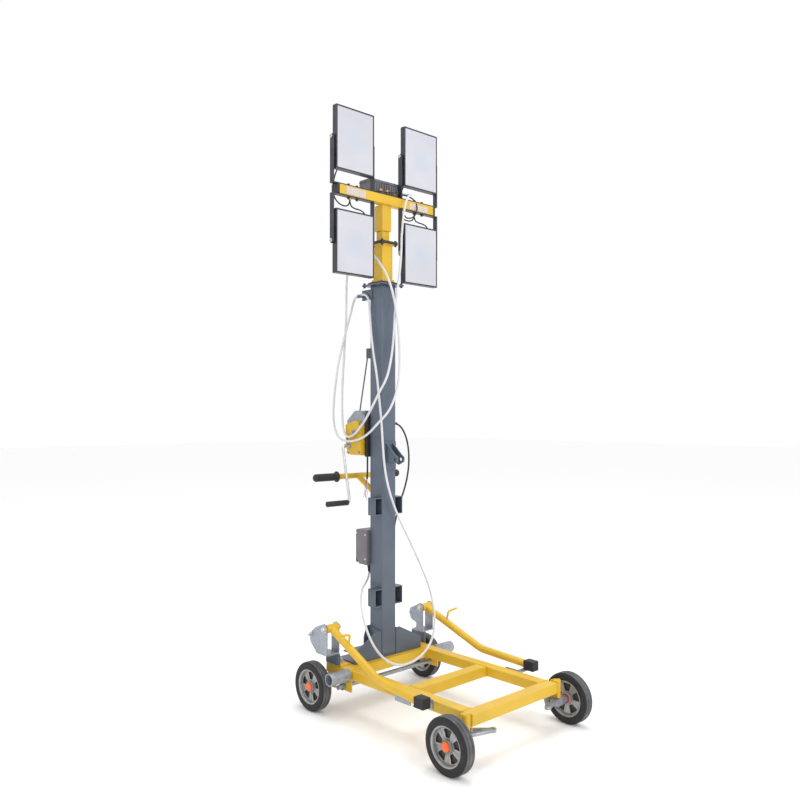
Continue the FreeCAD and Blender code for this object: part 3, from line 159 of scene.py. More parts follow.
YELLOW = finish_material("yellow_paint", (0.62, 0.375, 0.010), (0.69, 0.435, 0.018), 0.42, scale=9.0,
                         grain=260.0, bump=0.12, dirt=(0.45, 0.24, 0.012), dirt_amount=0.25, coat=0.08)
GREY = finish_material("grey_paint", (0.072, 0.095, 0.132), (0.094, 0.121, 0.165), 0.42, scale=7.0,
                       grain=300.0, bump=0.12, dirt=(0.05, 0.062, 0.08), dirt_amount=0.4, coat=0.15)
ZINC = finish_material("galvanised", (0.27, 0.30, 0.34), (0.38, 0.41, 0.46), 0.42, metal=0.55,
                       spangle=160.0, grain=500.0, bump=0.1, dirt=(0.2, 0.19, 0.18), dirt_amount=0.4)
STEEL = finish_material("bright_steel", (0.5, 0.51, 0.52), (0.7, 0.7, 0.7), 0.3, metal=0.85, scale=60.0,
                        bump=0.05)
BLACK_PAINT = finish_material("black_paint", (0.016, 0.018, 0.026), (0.034, 0.037, 0.05), 0.4, scale=25.0,
                              grain=350.0, bump=0.12, coat=0.1)
PLASTIC = finish_material("black_plastic", (0.012, 0.012, 0.013), (0.022, 0.022, 0.024), 0.45, scale=30.0,
                          grain=900.0, bump=0.2)
RUBBER = finish_material("rubber", (0.01, 0.01, 0.011), (0.024, 0.024, 0.025), 0.65, scale=35.0,
                         grain=700.0, bump=0.35)
TYRE = finish_material("tyre_rubber", (0.006, 0.006, 0.008), (0.015, 0.015, 0.018), 0.7, scale=22.0,
                       grain=420.0, bump=0.5, dirt=(0.08, 0.075, 0.07), dirt_scale=16.0, dirt_amount=0.4)
TREAD_RUBBER = finish_material("tread_rubber", (0.065, 0.066, 0.07), (0.13, 0.13, 0.135), 0.85, scale=30.0,
                               grain=500.0, bump=0.6, dirt=(0.22, 0.21, 0.2), dirt_scale=20.0,
                               dirt_amount=0.6)
ALUMINIUM = finish_material("cast_aluminium", (0.27, 0.265, 0.26), (0.44, 0.435, 0.42), 0.4, metal=0.6,
                            scale=40.0, grain=320.0, bump=0.25, dirt=(0.2, 0.18, 0.16), dirt_scale=20.0,
                            dirt_amount=0.6)
# Near black for the rim's middle web: painted shade standing in for the dark floors of the window pockets
POCKET_SHADE = finish_material("painted_pocket_shade", (0.03, 0.028, 0.026), (0.07, 0.066, 0.06), 0.8, scale=40.0,
                            grain=320.0, bump=0.3)
HUB_GREEN = finish_material("hub_ring", (0.13, 0.17, 0.15), (0.19, 0.23, 0.2), 0.5, scale=60.0,
                            grain=400.0, bump=0.1)
ORANGE = finish_material("orange_cap", (0.82, 0.10, 0.01), (0.93, 0.16, 0.02), 0.4, scale=40.0,
                         grain=500.0, bump=0.1)
RED_SEAL = finish_material("red_seal", (0.42, 0.03, 0.02), (0.55, 0.05, 0.03), 0.5, scale=60.0)
WHITE_CABLE = finish_material("white_cable", (0.60, 0.60, 0.63), (0.68, 0.68, 0.71), 0.42, scale=12.0,
                              grain=300.0, bump=0.06, dirt=(0.48, 0.46, 0.43), dirt_amount=0.4)
BLACK_CABLE = finish_material("black_cable", (0.008, 0.008, 0.009), (0.02, 0.02, 0.022), 0.45, scale=40.0,
                              bump=0.1)
BOX_PAINT = finish_material("box_paint", (0.135, 0.125, 0.143), (0.17, 0.16, 0.183), 0.45, scale=12.0,
                            grain=420.0, bump=0.2, dirt=(0.12, 0.1, 0.09), dirt_amount=0.4)
LID_PAINT = finish_material("lid_paint", (0.09, 0.095, 0.11), (0.16, 0.165, 0.185), 0.42, metal=0.3,
                            scale=30.0, grain=300.0, bump=0.25)
BRASS = finish_material("brass", (0.62, 0.33, 0.09), (0.75, 0.44, 0.14), 0.3, metal=0.85, scale=80.0,
                        bump=0.05)
LABEL = finish_material("blank_label", (0.52, 0.45, 0.42), (0.60, 0.52, 0.48), 0.45, scale=60.0,
                        grain=200.0, bump=0.05)
COPPER_RED = finish_material("red_wire", (0.5, 0.04, 0.02), (0.6, 0.06, 0.03), 0.45, scale=60.0)
WIRE_BLUE = finish_material("blue_wire", (0.03, 0.06, 0.35), (0.05, 0.09, 0.45), 0.45, scale=60.0)
ROPE = finish_material("wire_rope", (0.05, 0.05, 0.055), (0.16, 0.16, 0.17), 0.5, metal=0.6, scale=900.0,
                       grain=1500.0, bump=0.6)

# The lamp cover's bluer square: half width and height as shares of the cover, soft edge and strength
GLOW_HALVES = (("X", 0.34), ("Z", 0.30))
GLOW_EDGE = 0.26
GLOW_AMOUNT = 0.65


def diffuser_material():
    """Frosted lamp cover: pale, with a softly bluer square in the middle of its own height and width."""
    made = finish_material("lamp_diffuser", (0.50, 0.50, 0.555), (0.55, 0.55, 0.60), 0.38, scale=5.0,
                           grain=900.0, bump=0.03, coat=0.3)
    tree = made.node_tree
    shader = tree.nodes["Principled BSDF"]
    colour = shader.inputs["Base Color"].links[0].from_socket
    spot = tree.nodes.new("ShaderNodeTexCoord")
    parts = tree.nodes.new("ShaderNodeSeparateXYZ")
    tree.links.new(spot.outputs["Generated"], parts.inputs["Vector"])
    reach = None
    for word, half in GLOW_HALVES:
        off = tree.nodes.new("ShaderNodeMath")
        off.operation = "SUBTRACT"
        off.inputs[1].default_value = 0.5
        tree.links.new(parts.outputs[word], off.inputs[0])
        size = tree.nodes.new("ShaderNodeMath")
        size.operation = "ABSOLUTE"
        tree.links.new(off.outputs[0], size.inputs[0])
        soft = tree.nodes.new("ShaderNodeMapRange")
        soft.interpolation_type = "SMOOTHSTEP"
        soft.inputs["From Min"].default_value = half
        soft.inputs["From Max"].default_value = half - GLOW_EDGE
        tree.links.new(size.outputs[0], soft.inputs["Value"])
        if reach is None:
            reach = soft.outputs["Result"]
        else:
            both = tree.nodes.new("ShaderNodeMath")
            both.operation = "MULTIPLY"
            tree.links.new(reach, both.inputs[0])
            tree.links.new(soft.outputs["Result"], both.inputs[1])
            reach = both.outputs[0]
    blend = mix_node(tree)
    blend.inputs["B"].default_value = (0.46, 0.52, 0.60, 1.0)
    part = tree.nodes.new("ShaderNodeMath")
    part.operation = "MULTIPLY"
    part.inputs[1].default_value = GLOW_AMOUNT
    tree.links.new(reach, part.inputs[0])
    tree.links.new(part.outputs[0], blend.inputs["Factor"])
    tree.links.new(colour, blend.inputs["A"])
    tree.links.new(blend.outputs["Result"], shader.inputs["Base Color"])
    return made


DIFFUSER = diffuser_material()


# Mesh building: a Shape gathers solids and becomes one object on one body
def mesh_of(curve):
    """The surface of a curve as a bmesh; the curve itself is removed."""
    carrier = bpy.data.objects.new(curve.name, curve)
    bpy.context.scene.collection.objects.link(carrier)
    bpy.context.view_layer.update()
    flat = bpy.data.meshes.new_from_object(carrier.evaluated_get(bpy.context.evaluated_depsgraph_get()))
    part = bmesh.new()
    part.from_mesh(flat)
    bpy.data.objects.remove(carrier)
    bpy.data.meshes.remove(flat)
    bpy.data.curves.remove(curve)
    bmesh.ops.remove_doubles(part, verts=part.verts, dist=MERGE_GAP)
    return part


class Shape:
    def __init__(self):
        self.mesh = bmesh.new()

    def take(self, part, bevel=0.0, angle=0.5, matrix=None):
        """Adds a bmesh, moved by matrix, with its edges that turn by more than angle bevelled."""
        if matrix is not None:
            bmesh.ops.transform(part, matrix=matrix, verts=part.verts)
        if bevel:
            part.normal_update()
            edges = [e for e in part.edges if len(e.link_faces) == 2 and e.calc_face_angle(0) > angle]
            bmesh.ops.bevel(part, geom=edges, offset=bevel, segments=2, profile=0.6, affect="EDGES",
                            clamp_overlap=True)
        bmesh.ops.recalc_face_normals(part, faces=part.faces)
        holder = bpy.data.meshes.new("part")
        part.to_mesh(holder)
        part.free()
        self.mesh.from_mesh(holder)
        bpy.data.meshes.remove(holder)
        return self

    def box(self, low, high, bevel=0.001):
        part = bmesh.new()
        bmesh.ops.create_cube(part, size=1.0)
        low, high = Vector(low), Vector(high)
        middle = (low + high) / 2
        for v in part.verts:
            v.co = Vector((v.co[i] * abs(high[i] - low[i]) for i in range(3))) + middle
        return self.take(part, bevel)

    def rod(self, start, end, radius, bevel=0.0005, sides=32, end_radius=None):
        start, end = Vector(start), Vector(end)
        tip = radius if end_radius is None else end_radius
        part = bmesh.new()
        bmesh.ops.create_cone(part, cap_ends=True, segments=sides, radius1=radius, radius2=tip,
                              depth=(end - start).length)
        turn = Vector((0, 0, 1)).rotation_difference(end - start).to_matrix().to_4x4()
        return self.take(part, bevel, angle=0.9, matrix=Matrix.Translation((start + end) / 2) @ turn)

    def lathe(self, outline, centre, axis, sides=64, closed=False):
        """outline is a list of (radius, along) corners; it closes on the axis, or as a ring if closed."""
        turn = Vector((0, 0, 1)).rotation_difference(Vector(axis).normalized()).to_matrix()
        angles = [2 * math.pi * k / sides for k in range(sides)]
        part = bmesh.new()
        rings = []
        for radius, along in outline:
            if radius < 1e-7:
                rings.append([part.verts.new(turn @ Vector((0, 0, along)) + Vector(centre))] * sides)
                continue
            spots = [Vector((radius * math.cos(a), radius * math.sin(a), along)) for a in angles]
            rings.append([part.verts.new(turn @ spot + Vector(centre)) for spot in spots])
        if closed:
            rings.append(rings[0])
        for first, second in zip(rings, rings[1:]):
            for k in range(sides):
                corners = []
                for v in (first[k], first[(k + 1) % sides], second[(k + 1) % sides], second[k]):
                    if v not in corners:
                        corners.append(v)
                if len(corners) > 2:
                    part.faces.new(corners)
        return self.take(part)

    def prism(self, loops, thick, matrix, bevel=0.0008):
        """A flat plate from 2-D loops (the first is the outline, the rest are holes), placed by matrix."""
        curve = bpy.data.curves.new("plate", "CURVE")
        curve.dimensions = "2D"
        curve.fill_mode = "BOTH"
        curve.extrude = max(thick / 2 - bevel, 0.0001)
        curve.bevel_depth = bevel
        curve.bevel_resolution = 1
        curve.offset = -bevel
        for loop in loops:
            spline = curve.splines.new("POLY")
            spline.points.add(len(loop) - 1)
            for point, (u, v) in zip(spline.points, loop):
                point.co = (u, v, 0, 1)
            spline.use_cyclic_u = True
        return self.take(mesh_of(curve), matrix=matrix)

    def bolt(self, base, out, across=0.013, head=0.007):
        """A hexagon head with its washer and the bolt's end, standing on base and facing out."""
        base, out = Vector(base), Vector(out).normalized()
        start = base + out * across * 0.14
        self.rod(base, start, across * 0.78, bevel=0.0002, sides=24)
        self.rod(start, start + out * head, across * 0.577, bevel=across * 0.06, sides=6)
        end = start + out * (head + across * 0.12)
        return self.rod(start + out * head, end, across * 0.28, bevel=0.0, sides=16)

    def pipe(self, points, radius, sides=16):
        """A round bar along a smooth line through given points."""
        curve = bpy.data.curves.new("pipe", "CURVE")
        curve.dimensions = "3D"
        curve.bevel_depth = radius
        curve.bevel_resolution = sides // 4
        curve.use_fill_caps = True
        curve.resolution_u = 6
        smooth_spline(curve, points)
        return self.take(mesh_of(curve))

    def bead(self, start, end, radius=0.003, step=0.0045):
        """A weld bead: a row of overlapping drops between two points, each a little larger or smaller."""
        start, end = Vector(start), Vector(end)
        count = max(2, int((end - start).length / step))
        for k in range(count + 1):
            part = bmesh.new()
            size = radius * (0.85 + 0.3 * chance.random())
            bmesh.ops.create_icosphere(part, subdivisions=1, radius=size)
            bmesh.ops.translate(part, vec=start.lerp(end, k / count), verts=part.verts)
            self.take(part)
        return self

    def make(self, name, body, material, slot, replaces=(), smooth=40):
        mesh = bpy.data.meshes.new(name)
        self.mesh.to_mesh(mesh)
        self.mesh.free()
        mesh.shade_smooth()
        mesh.set_sharp_from_angle(angle=math.radians(smooth))
        obj = bpy.data.objects.new(name, mesh)
        bpy.context.scene.collection.objects.link(obj)
        mesh.materials.append(material)
        if body:
            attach(obj, body)
        if replaces:
            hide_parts(*replaces)
        return obj


def smooth_spline(curve, points):
    spline = curve.splines.new("NURBS")
    spline.points.add(len(points) - 1)
    for point, place in zip(spline.points, points):
        point.co = (*place, 1)
    spline.order_u = 3
    spline.use_endpoint_u = True


def in_metres(outline):
    return [(radius * MM, along * MM) for radius, along in outline]


def circle(centre, radius, count=24):
    return [(centre[0] + radius * math.cos(2 * math.pi * k / count),
             centre[1] + radius * math.sin(2 * math.pi * k / count)) for k in range(count)]


def rounded(points, radius, steps=5):
    """A 2-D outline with each corner rounded."""
    out = []
    count = len(points)
    for k in range(count):
        before = Vector(points[k - 1])
        here = Vector(points[k])
        after = Vector(points[(k + 1) % count])
        a = (before - here)
        b = (after - here)
        reach = min(radius, 0.45 * a.length, 0.45 * b.length)
        first = here + a.normalized() * reach
        last = here + b.normalized() * reach
        for step in range(steps + 1):
            t = step / steps
            out.append(tuple(first * (1 - t) ** 2 + here * 2 * t * (1 - t) + last * t * t))
    return out


def rectangle(low_u, high_u, low_v, high_v, corner):
    return rounded([(low_u, low_v), (high_u, low_v), (high_u, high_v), (low_u, high_v)], corner)


# A plate's own u and v become y and z, or x and z, with its thickness along the third axis
FACING_X = Matrix(((0, 0, 1, 0), (1, 0, 0, 0), (0, 1, 0, 0), (0, 0, 0, 1)))
FACING_Y = Matrix(((1, 0, 0, 0), (0, 0, 1, 0), (0, 1, 0, 0), (0, 0, 0, 1)))


def at(x, y, z, turn=None):
    return Matrix.Translation((x, y, z)) @ (turn or Matrix.Identity(4))


# CAD nodes that keep their shape: softened edges and a finish
KEPT = {
    YELLOW: ("side_rails", "cross_rails", "frame_brackets", "mast_middle", "mast_inner", "lamp_bar",
             "push_handle", "arm_left", "arm_right", "winch_cover"),
    GREY: ("mast_base", "mast_outer", "mast_flange", "mast_brackets", "bracket_blocks"),
    ZINC: ("rear_axle", "knuckle_left", "knuckle_right", "socket_tubes", "cross_rod", "arm_brackets",
           "arm_cradles", "winch_frame"),
    STEEL: ("winch_drum", "winch_crank"),
    BLACK_PAINT: ("lamp_yokes", "lamp_upper_left", "lamp_upper_right", "lamp_lower_left",
                  "lamp_lower_right"),
    PLASTIC: ("bar_caps", "winch_pad", "cable_glands"),
    RUBBER: ("crank_grip", "arm_foot_left", "arm_foot_right"),
    DIFFUSER: ("lens_upper_left", "lens_upper_right", "lens_lower_left", "lens_lower_right"),
    BOX_PAINT: ("control_box",),
    LID_PAINT: ("junction_box",),
    ROPE: ("lift_rope",),
}
# Edge radii in millimetres of the tubes, boxes and mouldings; sheet and turned pieces get the small one
EDGE = {"side_rails": 3.0, "cross_rails": 3.0, "mast_outer": 5.0, "mast_middle": 4.0, "mast_inner": 3.0,
        "lamp_bar": 3.0, "control_box": 6.0, "junction_box": 6.0, "arm_foot_left": 4.0,
        "arm_foot_right": 4.0, "winch_cover": 5.0, "bracket_blocks": 3.0}
SMALL_EDGE = 0.8
EDGE_ANGLE = math.radians(35)
for finish, names in KEPT.items():
    for word in names:
        thing = nodes[word]
        thing.data.materials.clear()
        thing.data.materials.append(finish)
        weld = thing.modifiers.new("weld", "WELD")
        weld.merge_threshold = MERGE_GAP
        soft = thing.modifiers.new("edges", "BEVEL")
        soft.width = EDGE.get(word, SMALL_EDGE) * MM
        soft.segments = 3 if word in EDGE else 2
        soft.limit_method = "ANGLE"
        soft.angle_limit = EDGE_ANGLE
        soft.use_clamp_overlap = True
        soft.harden_normals = False


# Cables: the routes of the solids as smooth lines, each point (x, distance ahead of the rear axle, z)
UPPER = [
    (98, 46, 2235.5), (121, 46, 2235.5), (143, 50.5, 2234), (154, 69, 2230), (151, 93, 2225),
    (133, 113, 2219), (110, 129, 2209), (88, 140, 2192), (72, 144, 2166), (63, 144, 2130), (57, 143, 2090),
    (51, 145, 2050), (45, 146, 2006), (40, 151, 1958), (32, 155, 1900), (22, 156, 1830), (8, 155, 1755),
    (-2, 155, 1680), (-7, 156, 1605), (-14, 155, 1525), (-30, 157, 1450), (-56, 162, 1382),
    (-84, 143, 1322), (-90, 108, 1264), (-88, 66, 1214), (-87, 24, 1172), (-87, -14, 1143),
    (-87, -50, 1128), (-87, -82, 1136), (-87, -98, 1170), (-87, -103, 1232), (-87, -104, 1305),
    (-88, -99, 1390), (-85, -93, 1480), (-86, -84, 1570), (-90, -72, 1650), (-94, -66, 1730),
    (-96, -63, 1800), (-93, -60, 1868), (-84, -44, 1922), (-70, -8, 1950), (-60, 38, 1944),
    (-58, 82, 1922), (-57, 120, 1882), (-44, 148, 1834), (-28, 162, 1775), (-12, 168, 1705),
    (2, 168, 1632), (13, 166, 1557), (20, 163, 1480), (20, 160, 1405), (8, 158, 1335), (-18, 158, 1276),
    (-54, 162, 1232), (-84, 142, 1196), (-91, 104, 1160), (-92, 60, 1134), (-92, 12, 1118),
    (-92, -38, 1110), (-92, -88, 1112), (-92, -130, 1132), (-92, -154, 1172), (-92, -162, 1228),
    (-92, -157, 1296), (-93, -144, 1366), (-97, -124, 1436), (-100, -98, 1505), (-97, -78, 1568),
    (-86, -65, 1630), (-73, -59, 1683), (-65, -56, 1720), (-62, -50, 1741), (-60, -38, 1755),
    (-59, -21, 1760), (-59, -5, 1760),
]
LOWER = [
    (-59, -4.7, 1760), (-59, 11, 1760), (-58, 28, 1755), (-57, 40, 1741), (-57, 46, 1720),
    (-56, 50, 1682), (-56, 55, 1628), (-57, 65, 1558), (-57, 80, 1478), (-56, 98, 1400), (-59, 113, 1320),
    (-60, 127, 1240), (-60, 136, 1160), (-58, 141, 1080), (-50, 142, 1000), (-32, 142, 925),
    (-6, 142, 855), (28, 144, 785), (66, 150, 715), (104, 160, 640), (140, 172, 560), (172, 184, 480),
    (190, 196, 397), (190, 208, 322), (168, 219, 258), (122, 228, 212), (62, 232, 184), (0, 233, 174),
    (-58, 229, 180), (-108, 216, 206), (-144, 191, 254), (-160, 157, 320), (-154, 116, 392),
    (-128, 76, 446), (-92, 44, 478), (-56, 20, 487), (-29, 4, 500), (-15, 0.25, 524), (-15, 0.25, 556),
]
BLACK = [
    (54, 74, 1190), (84, 74, 1190), (118, 73, 1168), (146, 71, 1124), (162, 68, 1070), (168, 64, 1010),
    (164, 58, 948), (152, 50, 890), (137, 40, 838), (126, 32, 792), (122, 24, 752), (120, 16, 715),
    (110, 10, 686), (92, 10, 676.4), (74, 10, 676.4),
]
SWITCH = [(-46, 24, 1044), (-46, 24, 1012), (-45, 23, 977), (-46, 21, 945)]
CABLES = (
    # name, points, radius in mm, body, finish, slot, length in mm, far end, stiffness, node
    ("cord_lower", LOWER, 5.0, "cart", WHITE_CABLE, "white_cable", 2395, "object", "medium", "cable_lower"),
    ("cord_black", BLACK, 4.0, "cart", BLACK_CABLE, "black_cable", 610, "object", "medium", "cable_black"),
    ("cord_switch", SWITCH, 4.0, "cart", BLACK_CABLE, "black_cable", 99, "bare", "medium", "cable_switch"),
)
WIRE_RADIUS = 0.0012
WIRES = (
    # name, finish, points
    ("wire_red", COPPER_RED, [(-46, 21, 948), (-48, 19, 930), (-55, 17, 908), (-53, 16, 886),
                              (-60, 14, 866)]),
    ("wire_white", WHITE_CABLE, [(-46, 22, 948), (-45, 23, 928), (-49, 25, 902), (-46, 24, 878),
                                 (-50, 22, 852)]),
    ("wire_blue", WIRE_BLUE, [(-46, 20, 948), (-43, 17, 930), (-42, 13, 906), (-46, 11, 884),
                              (-44, 9, 862)]),
)


def cable_points(points):
    return [(x * MM, REAR_Y - ahead * MM, z * MM) for x, ahead, z in points]


def cable_curve(name, points, radius):
    curve = bpy.data.curves.new(name, "CURVE")
    curve.dimensions = "3D"
    curve.bevel_depth = radius * MM
    curve.bevel_resolution = 4
    curve.use_fill_caps = True
    curve.resolution_u = 8
    smooth_spline(curve, cable_points(points))
    obj = bpy.data.objects.new(name, curve)
    bpy.context.scene.collection.objects.link(obj)
    return obj


for name, finish, points in WIRES:
    wire = Shape().pipe(cable_points(points), WIRE_RADIUS, sides=8)
    wire.make(name, "cart", finish, "black_cable")
for name, points, radius, body, finish, slot, length, far_end, stiffness, node in CABLES:
    cable = cable_curve(name, points, radius)
    cable.data.materials.append(finish)
    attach(cable, body)
    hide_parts(node)

upper = cable_curve("cord_upper", UPPER, 5.0)
upper.data.materials.append(WHITE_CABLE)
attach(upper, "head")
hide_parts("cable_upper")


# Wheels: two-part tyres on cast rims with five windows
def mirrored(half):
    """A closed outline in metres, from one half of it as (radius, along) in mm, inside to outside."""
    return in_metres(half + [(radius, -along) for radius, along in reversed(half)])


WALL = mirrored([(66.0, 17), (70.6, 21.4), (72.5, 23.6), (80, 24.8), (90, 24.4), (95.5, 22.6),
                 (98.2, 19.4), (96.6, 18.4)])
TREAD = mirrored([(96.0, 18.2), (98.8, 19.0), (99.8, 15.5), (100, 9.4), (97.4, 8.8), (97.4, 7.0),
                  (100, 6.4)])
BARREL = mirrored([(66.3, 10), (70.2, 20.6), (70.6, 22.8), (69.3, 23.8), (67.0, 23.0), (63.4, 18.6),
                   (62.2, 8)])
HUB = [(0, -22), (13, -22), (22.5, -21.4), (24, -19.5), (25, -8), (26.5, -5), (26.5, 7), (24.4, 13),
       (24, 18.4), (22.8, 19.6), (20.5, 19.8), (19.2, 18.2), (0, 18.2)]
CAP = [(0, 17.6), (17.6, 17.6), (18.0, 20.6), (17.2, 22.8), (14.5, 24.2), (9, 24.8), (0, 25.0)]
RING = [(19.4, 18.0), (22.6, 18.0), (22.6, 20.4), (21.8, 21.0), (20.2, 21.0), (19.4, 20.4)]
SEAL = [(13, -21.6), (19.5, -21.6), (19.0, -23.6), (13.6, -23.6)]
WHEEL_SIDES = 96
DISC_SIDES = 72
WINDOW_COUNT = 5
WINDOW_STEP = 2 * math.pi / WINDOW_COUNT
WINDOW_START = math.radians(90)
WINDOW_HALF = math.radians(19)
WINDOW_OUTER = 0.0585
WINDOW_INNER = 0.0285
WINDOW_CORNER = 0.004
DISC_RADIUS = 0.0632
DISC_THICK = 0.005
DISC_OFFSET = 0.0085
CORE_RADIUS = 0.0628
CORE_HALF = Vector((0.002, 0, 0))
SPOKE_ANGLE = math.radians(54)
SPOKE_START = 0.024
SPOKE_LENGTH = 0.038
SPOKE_OUT = 0.0105
SPOKE_RADII = (0.0042, 0.0026)


def window(index):
    middle = WINDOW_START + index * WINDOW_STEP
    outer = [(WINDOW_OUTER, middle + WINDOW_HALF * share) for share in (-1, -0.5, 0, 0.5, 1)]
    inner = [(WINDOW_INNER, middle + WINDOW_HALF * 0.9 * share) for share in (1, 0, -1)]
    return rounded([(r * math.cos(a), r * math.sin(a)) for r, a in outer + inner], WINDOW_CORNER, steps=3)


def wheel(axle, side, sign, centre):
    body = "wheel_%s_%s" % (axle, side)
    word = "%s_%s" % (axle, side)
    out = (sign, 0, 0)
    wall = Shape().lathe(WALL, centre, out, sides=WHEEL_SIDES, closed=True)
    wall.make("tyre_wall_" + word, body, TYRE, "tyre", replaces=("tyre_" + word,))
    tread = Shape().lathe(TREAD, centre, out, sides=WHEEL_SIDES, closed=True)
    tread.make("tyre_tread_" + word, body, TREAD_RUBBER, "tyre")
    rim = Shape().lathe(BARREL, centre, out, sides=WHEEL_SIDES, closed=True)
    loops = [circle((0, 0), DISC_RADIUS, DISC_SIDES)] + [window(index) for index in range(WINDOW_COUNT)]
    for shift in (DISC_OFFSET, -DISC_OFFSET):
        rim.prism(loops, DISC_THICK, at(centre[0] + shift, centre[1], centre[2], FACING_X))
    rim.lathe(in_metres(HUB), centre, out)
    for index in range(WINDOW_COUNT):
        turn = SPOKE_ANGLE + index * WINDOW_STEP
        away = Vector((0, math.cos(turn), math.sin(turn)))
        start = Vector(centre) + away * SPOKE_START + Vector((sign * SPOKE_OUT, 0, 0))
        rim.rod(start, start + away * SPOKE_LENGTH, SPOKE_RADII[0], end_radius=SPOKE_RADII[1], sides=12)
    rim.make("rim_cast_" + word, body, ALUMINIUM, "aluminium", replaces=("rim_" + word,))
    # The web between the two discs is coloured near black, not aluminium: painted shade on the floors of the
    # window pockets
    shaded_web = Shape().rod(Vector(centre) - CORE_HALF, Vector(centre) + CORE_HALF, CORE_RADIUS, sides=DISC_SIDES)
    shaded_web.make("rim_web_shade_" + word, body, POCKET_SHADE, "aluminium")
    ring = Shape().lathe(in_metres(RING), centre, out, closed=True)
    ring.make("hub_ring_" + word, body, HUB_GREEN, "aluminium")
    cap = Shape().lathe(in_metres(CAP), centre, out)
    cap.make("hub_cap_" + word, body, ORANGE, "black_plastic")
    seal = Shape().lathe(in_metres(SEAL), centre, out, closed=True)
    seal.make("hub_seal_" + word, body, RED_SEAL, "rubber")


for side, sign in SIDES:
    wheel("rear", side, sign, (sign * REAR_WHEEL_X, REAR_Y, WHEEL_RADIUS))
    wheel("front", side, sign, (sign * FRONT_WHEEL_X, FRONT_Y, WHEEL_RADIUS))


# Head: blank plates and cable glands on the bar
PLATE_THICK = 0.0008
PLATES = (
    # side, low x, high x, low z, high z
    ("left", -0.240, -0.133, 2.1525, 2.1845),
    ("right", 0.123, 0.240, 2.1525, 2.1795),
)
for word, low_x, high_x, low_z, high_z in PLATES:
    plate = Shape().prism([rectangle(low_x, high_x, low_z, high_z, 0.002)], PLATE_THICK,
                          at(0, BAR_FRONT - PLATE_THICK / 2, 0, FACING_Y), bevel=0.0002)
    plate.make("blank_plate_" + word, "head", LABEL, "aluminium")

GLAND = [(0, 4), (6.5, 4), (7.0, 5), (7.4, 10), (6.4, 13), (4.0, 14.5), (0, 14.5)]
BOX_GLAND_Z = 2.214
glands = Shape()
for x in (-0.205, 0.172):
    glands.rod((x, BAR_Y, BAR_UNDER + 0.001), (x, BAR_Y, BAR_UNDER - 0.004), 0.0088, sides=6)
    glands.lathe(in_metres(GLAND), (x, BAR_Y, BAR_UNDER), (0, 0, -1), sides=32)
for x in (-0.028, 0.012, 0.052):
    glands.rod((x, 0.309, BOX_GLAND_Z), (x, 0.303, BOX_GLAND_Z), 0.0080, sides=6)
    glands.rod((x, 0.303, BOX_GLAND_Z), (x, 0.2975, BOX_GLAND_Z), 0.0060)
glands.make("brass_glands", "head", BRASS, "aluminium")


# Leads: thin black tubes on the head, four of them ending on a lamp
LEAD_RADIUS = 0.003
LEAD_SIDES = 12
LEADS = (
    # name, points, far body, where the turn to that body starts and ends
    ("lead_lower_left",
     [(-205, 94, 2137), (-204, 94, 2124), (-197, 94, 2110), (-180, 95, 2104), (-157, 96, 2103),
      (-137, 97, 2099), (-124, 98, 2088), (-121, 98, 2074)],
     "lamp_lower_left", (-0.18, 0.297, 2.104), (-0.121, 0.294, 2.084)),
    ("lead_upper_left",
     [(-205, 94, 2137), (-206, 93, 2123), (-215, 91, 2110), (-235, 88, 2107), (-256, 83, 2115),
      (-270, 74, 2135), (-275, 67, 2165), (-272, 65, 2200), (-266, 67, 2230), (-262, 74, 2252),
      (-262, 88, 2268)],
     "lamp_upper_left", (-0.272, 0.327, 2.200), (-0.262, 0.308, 2.262)),
    ("lead_lower_right",
     [(172, 94, 2137), (173, 94, 2124), (180, 94, 2110), (198, 95, 2105), (222, 96, 2104),
      (242, 97, 2099), (254, 98, 2088), (257, 98, 2074)],
     "lamp_lower_right", (0.198, 0.297, 2.104), (0.257, 0.294, 2.084)),
    ("lead_upper_right",
     [(172, 94, 2137), (171, 93, 2123), (161, 90, 2110), (142, 84, 2106), (122, 77, 2112),
      (110, 68, 2132), (106, 65, 2165), (108, 65, 2200), (114, 68, 2232), (118, 76, 2252),
      (118, 88, 2268)],
     "lamp_upper_right", (0.108, 0.327, 2.200), (0.118, 0.308, 2.262)),
    ("lead_box_left",
     [(52, 93, 2214), (52, 106, 2213), (40, 115, 2209), (14, 115, 2205), (-16, 110, 2203),
      (-44, 100, 2204), (-62, 95, 2203), (-68, 94, 2190)],
     None, None, None),
    ("lead_box_loop",
     [(82, 62, 2222), (106, 64, 2223), (134, 74, 2224), (157, 92, 2214), (168, 112, 2190),
      (164, 124, 2152), (146, 124, 2120), (122, 112, 2108), (106, 98, 2118), (103, 94, 2152)],
     None, None, None),
)


def lead(name, points, far_body, turn_start, turn_end):
    """A thin lead on the head: a tube along its smooth route, which may end on a lamp."""
    line = cable_curve(name + "_line", points, 0)
    path = bpy.data.meshes.new_from_object(line.evaluated_get(bpy.context.evaluated_depsgraph_get()))
    route = [Vector(v.co) for v in path.vertices]
    bpy.data.objects.remove(line)
    bpy.data.meshes.remove(path)
    angles = [2 * math.pi * i / LEAD_SIDES for i in range(LEAD_SIDES)]
    tube = bmesh.new()
    rings = []
    normal = Vector((0.3, 1.0, 0.2))
    for k, spot in enumerate(route):
        along = (route[min(k + 1, len(route) - 1)] - route[max(k - 1, 0)]).normalized()
        normal = (normal - along * normal.dot(along)).normalized()
        across = along.cross(normal)
        rings.append([tube.verts.new(spot + LEAD_RADIUS * (math.cos(a) * normal + math.sin(a) * across))
                      for a in angles])
    for first, second in zip(rings, rings[1:]):
        for i in range(LEAD_SIDES):
            j = (i + 1) % LEAD_SIDES
            tube.faces.new((first[i], first[j], second[j], second[i]))
    tube.faces.new(rings[0])
    tube.faces.new(rings[-1])
    obj = Shape().take(tube).make(name, None if far_body else "head", BLACK_CABLE, "black_cable")
    if far_body:
        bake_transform(obj)


for entry in LEADS:
    lead(*entry)


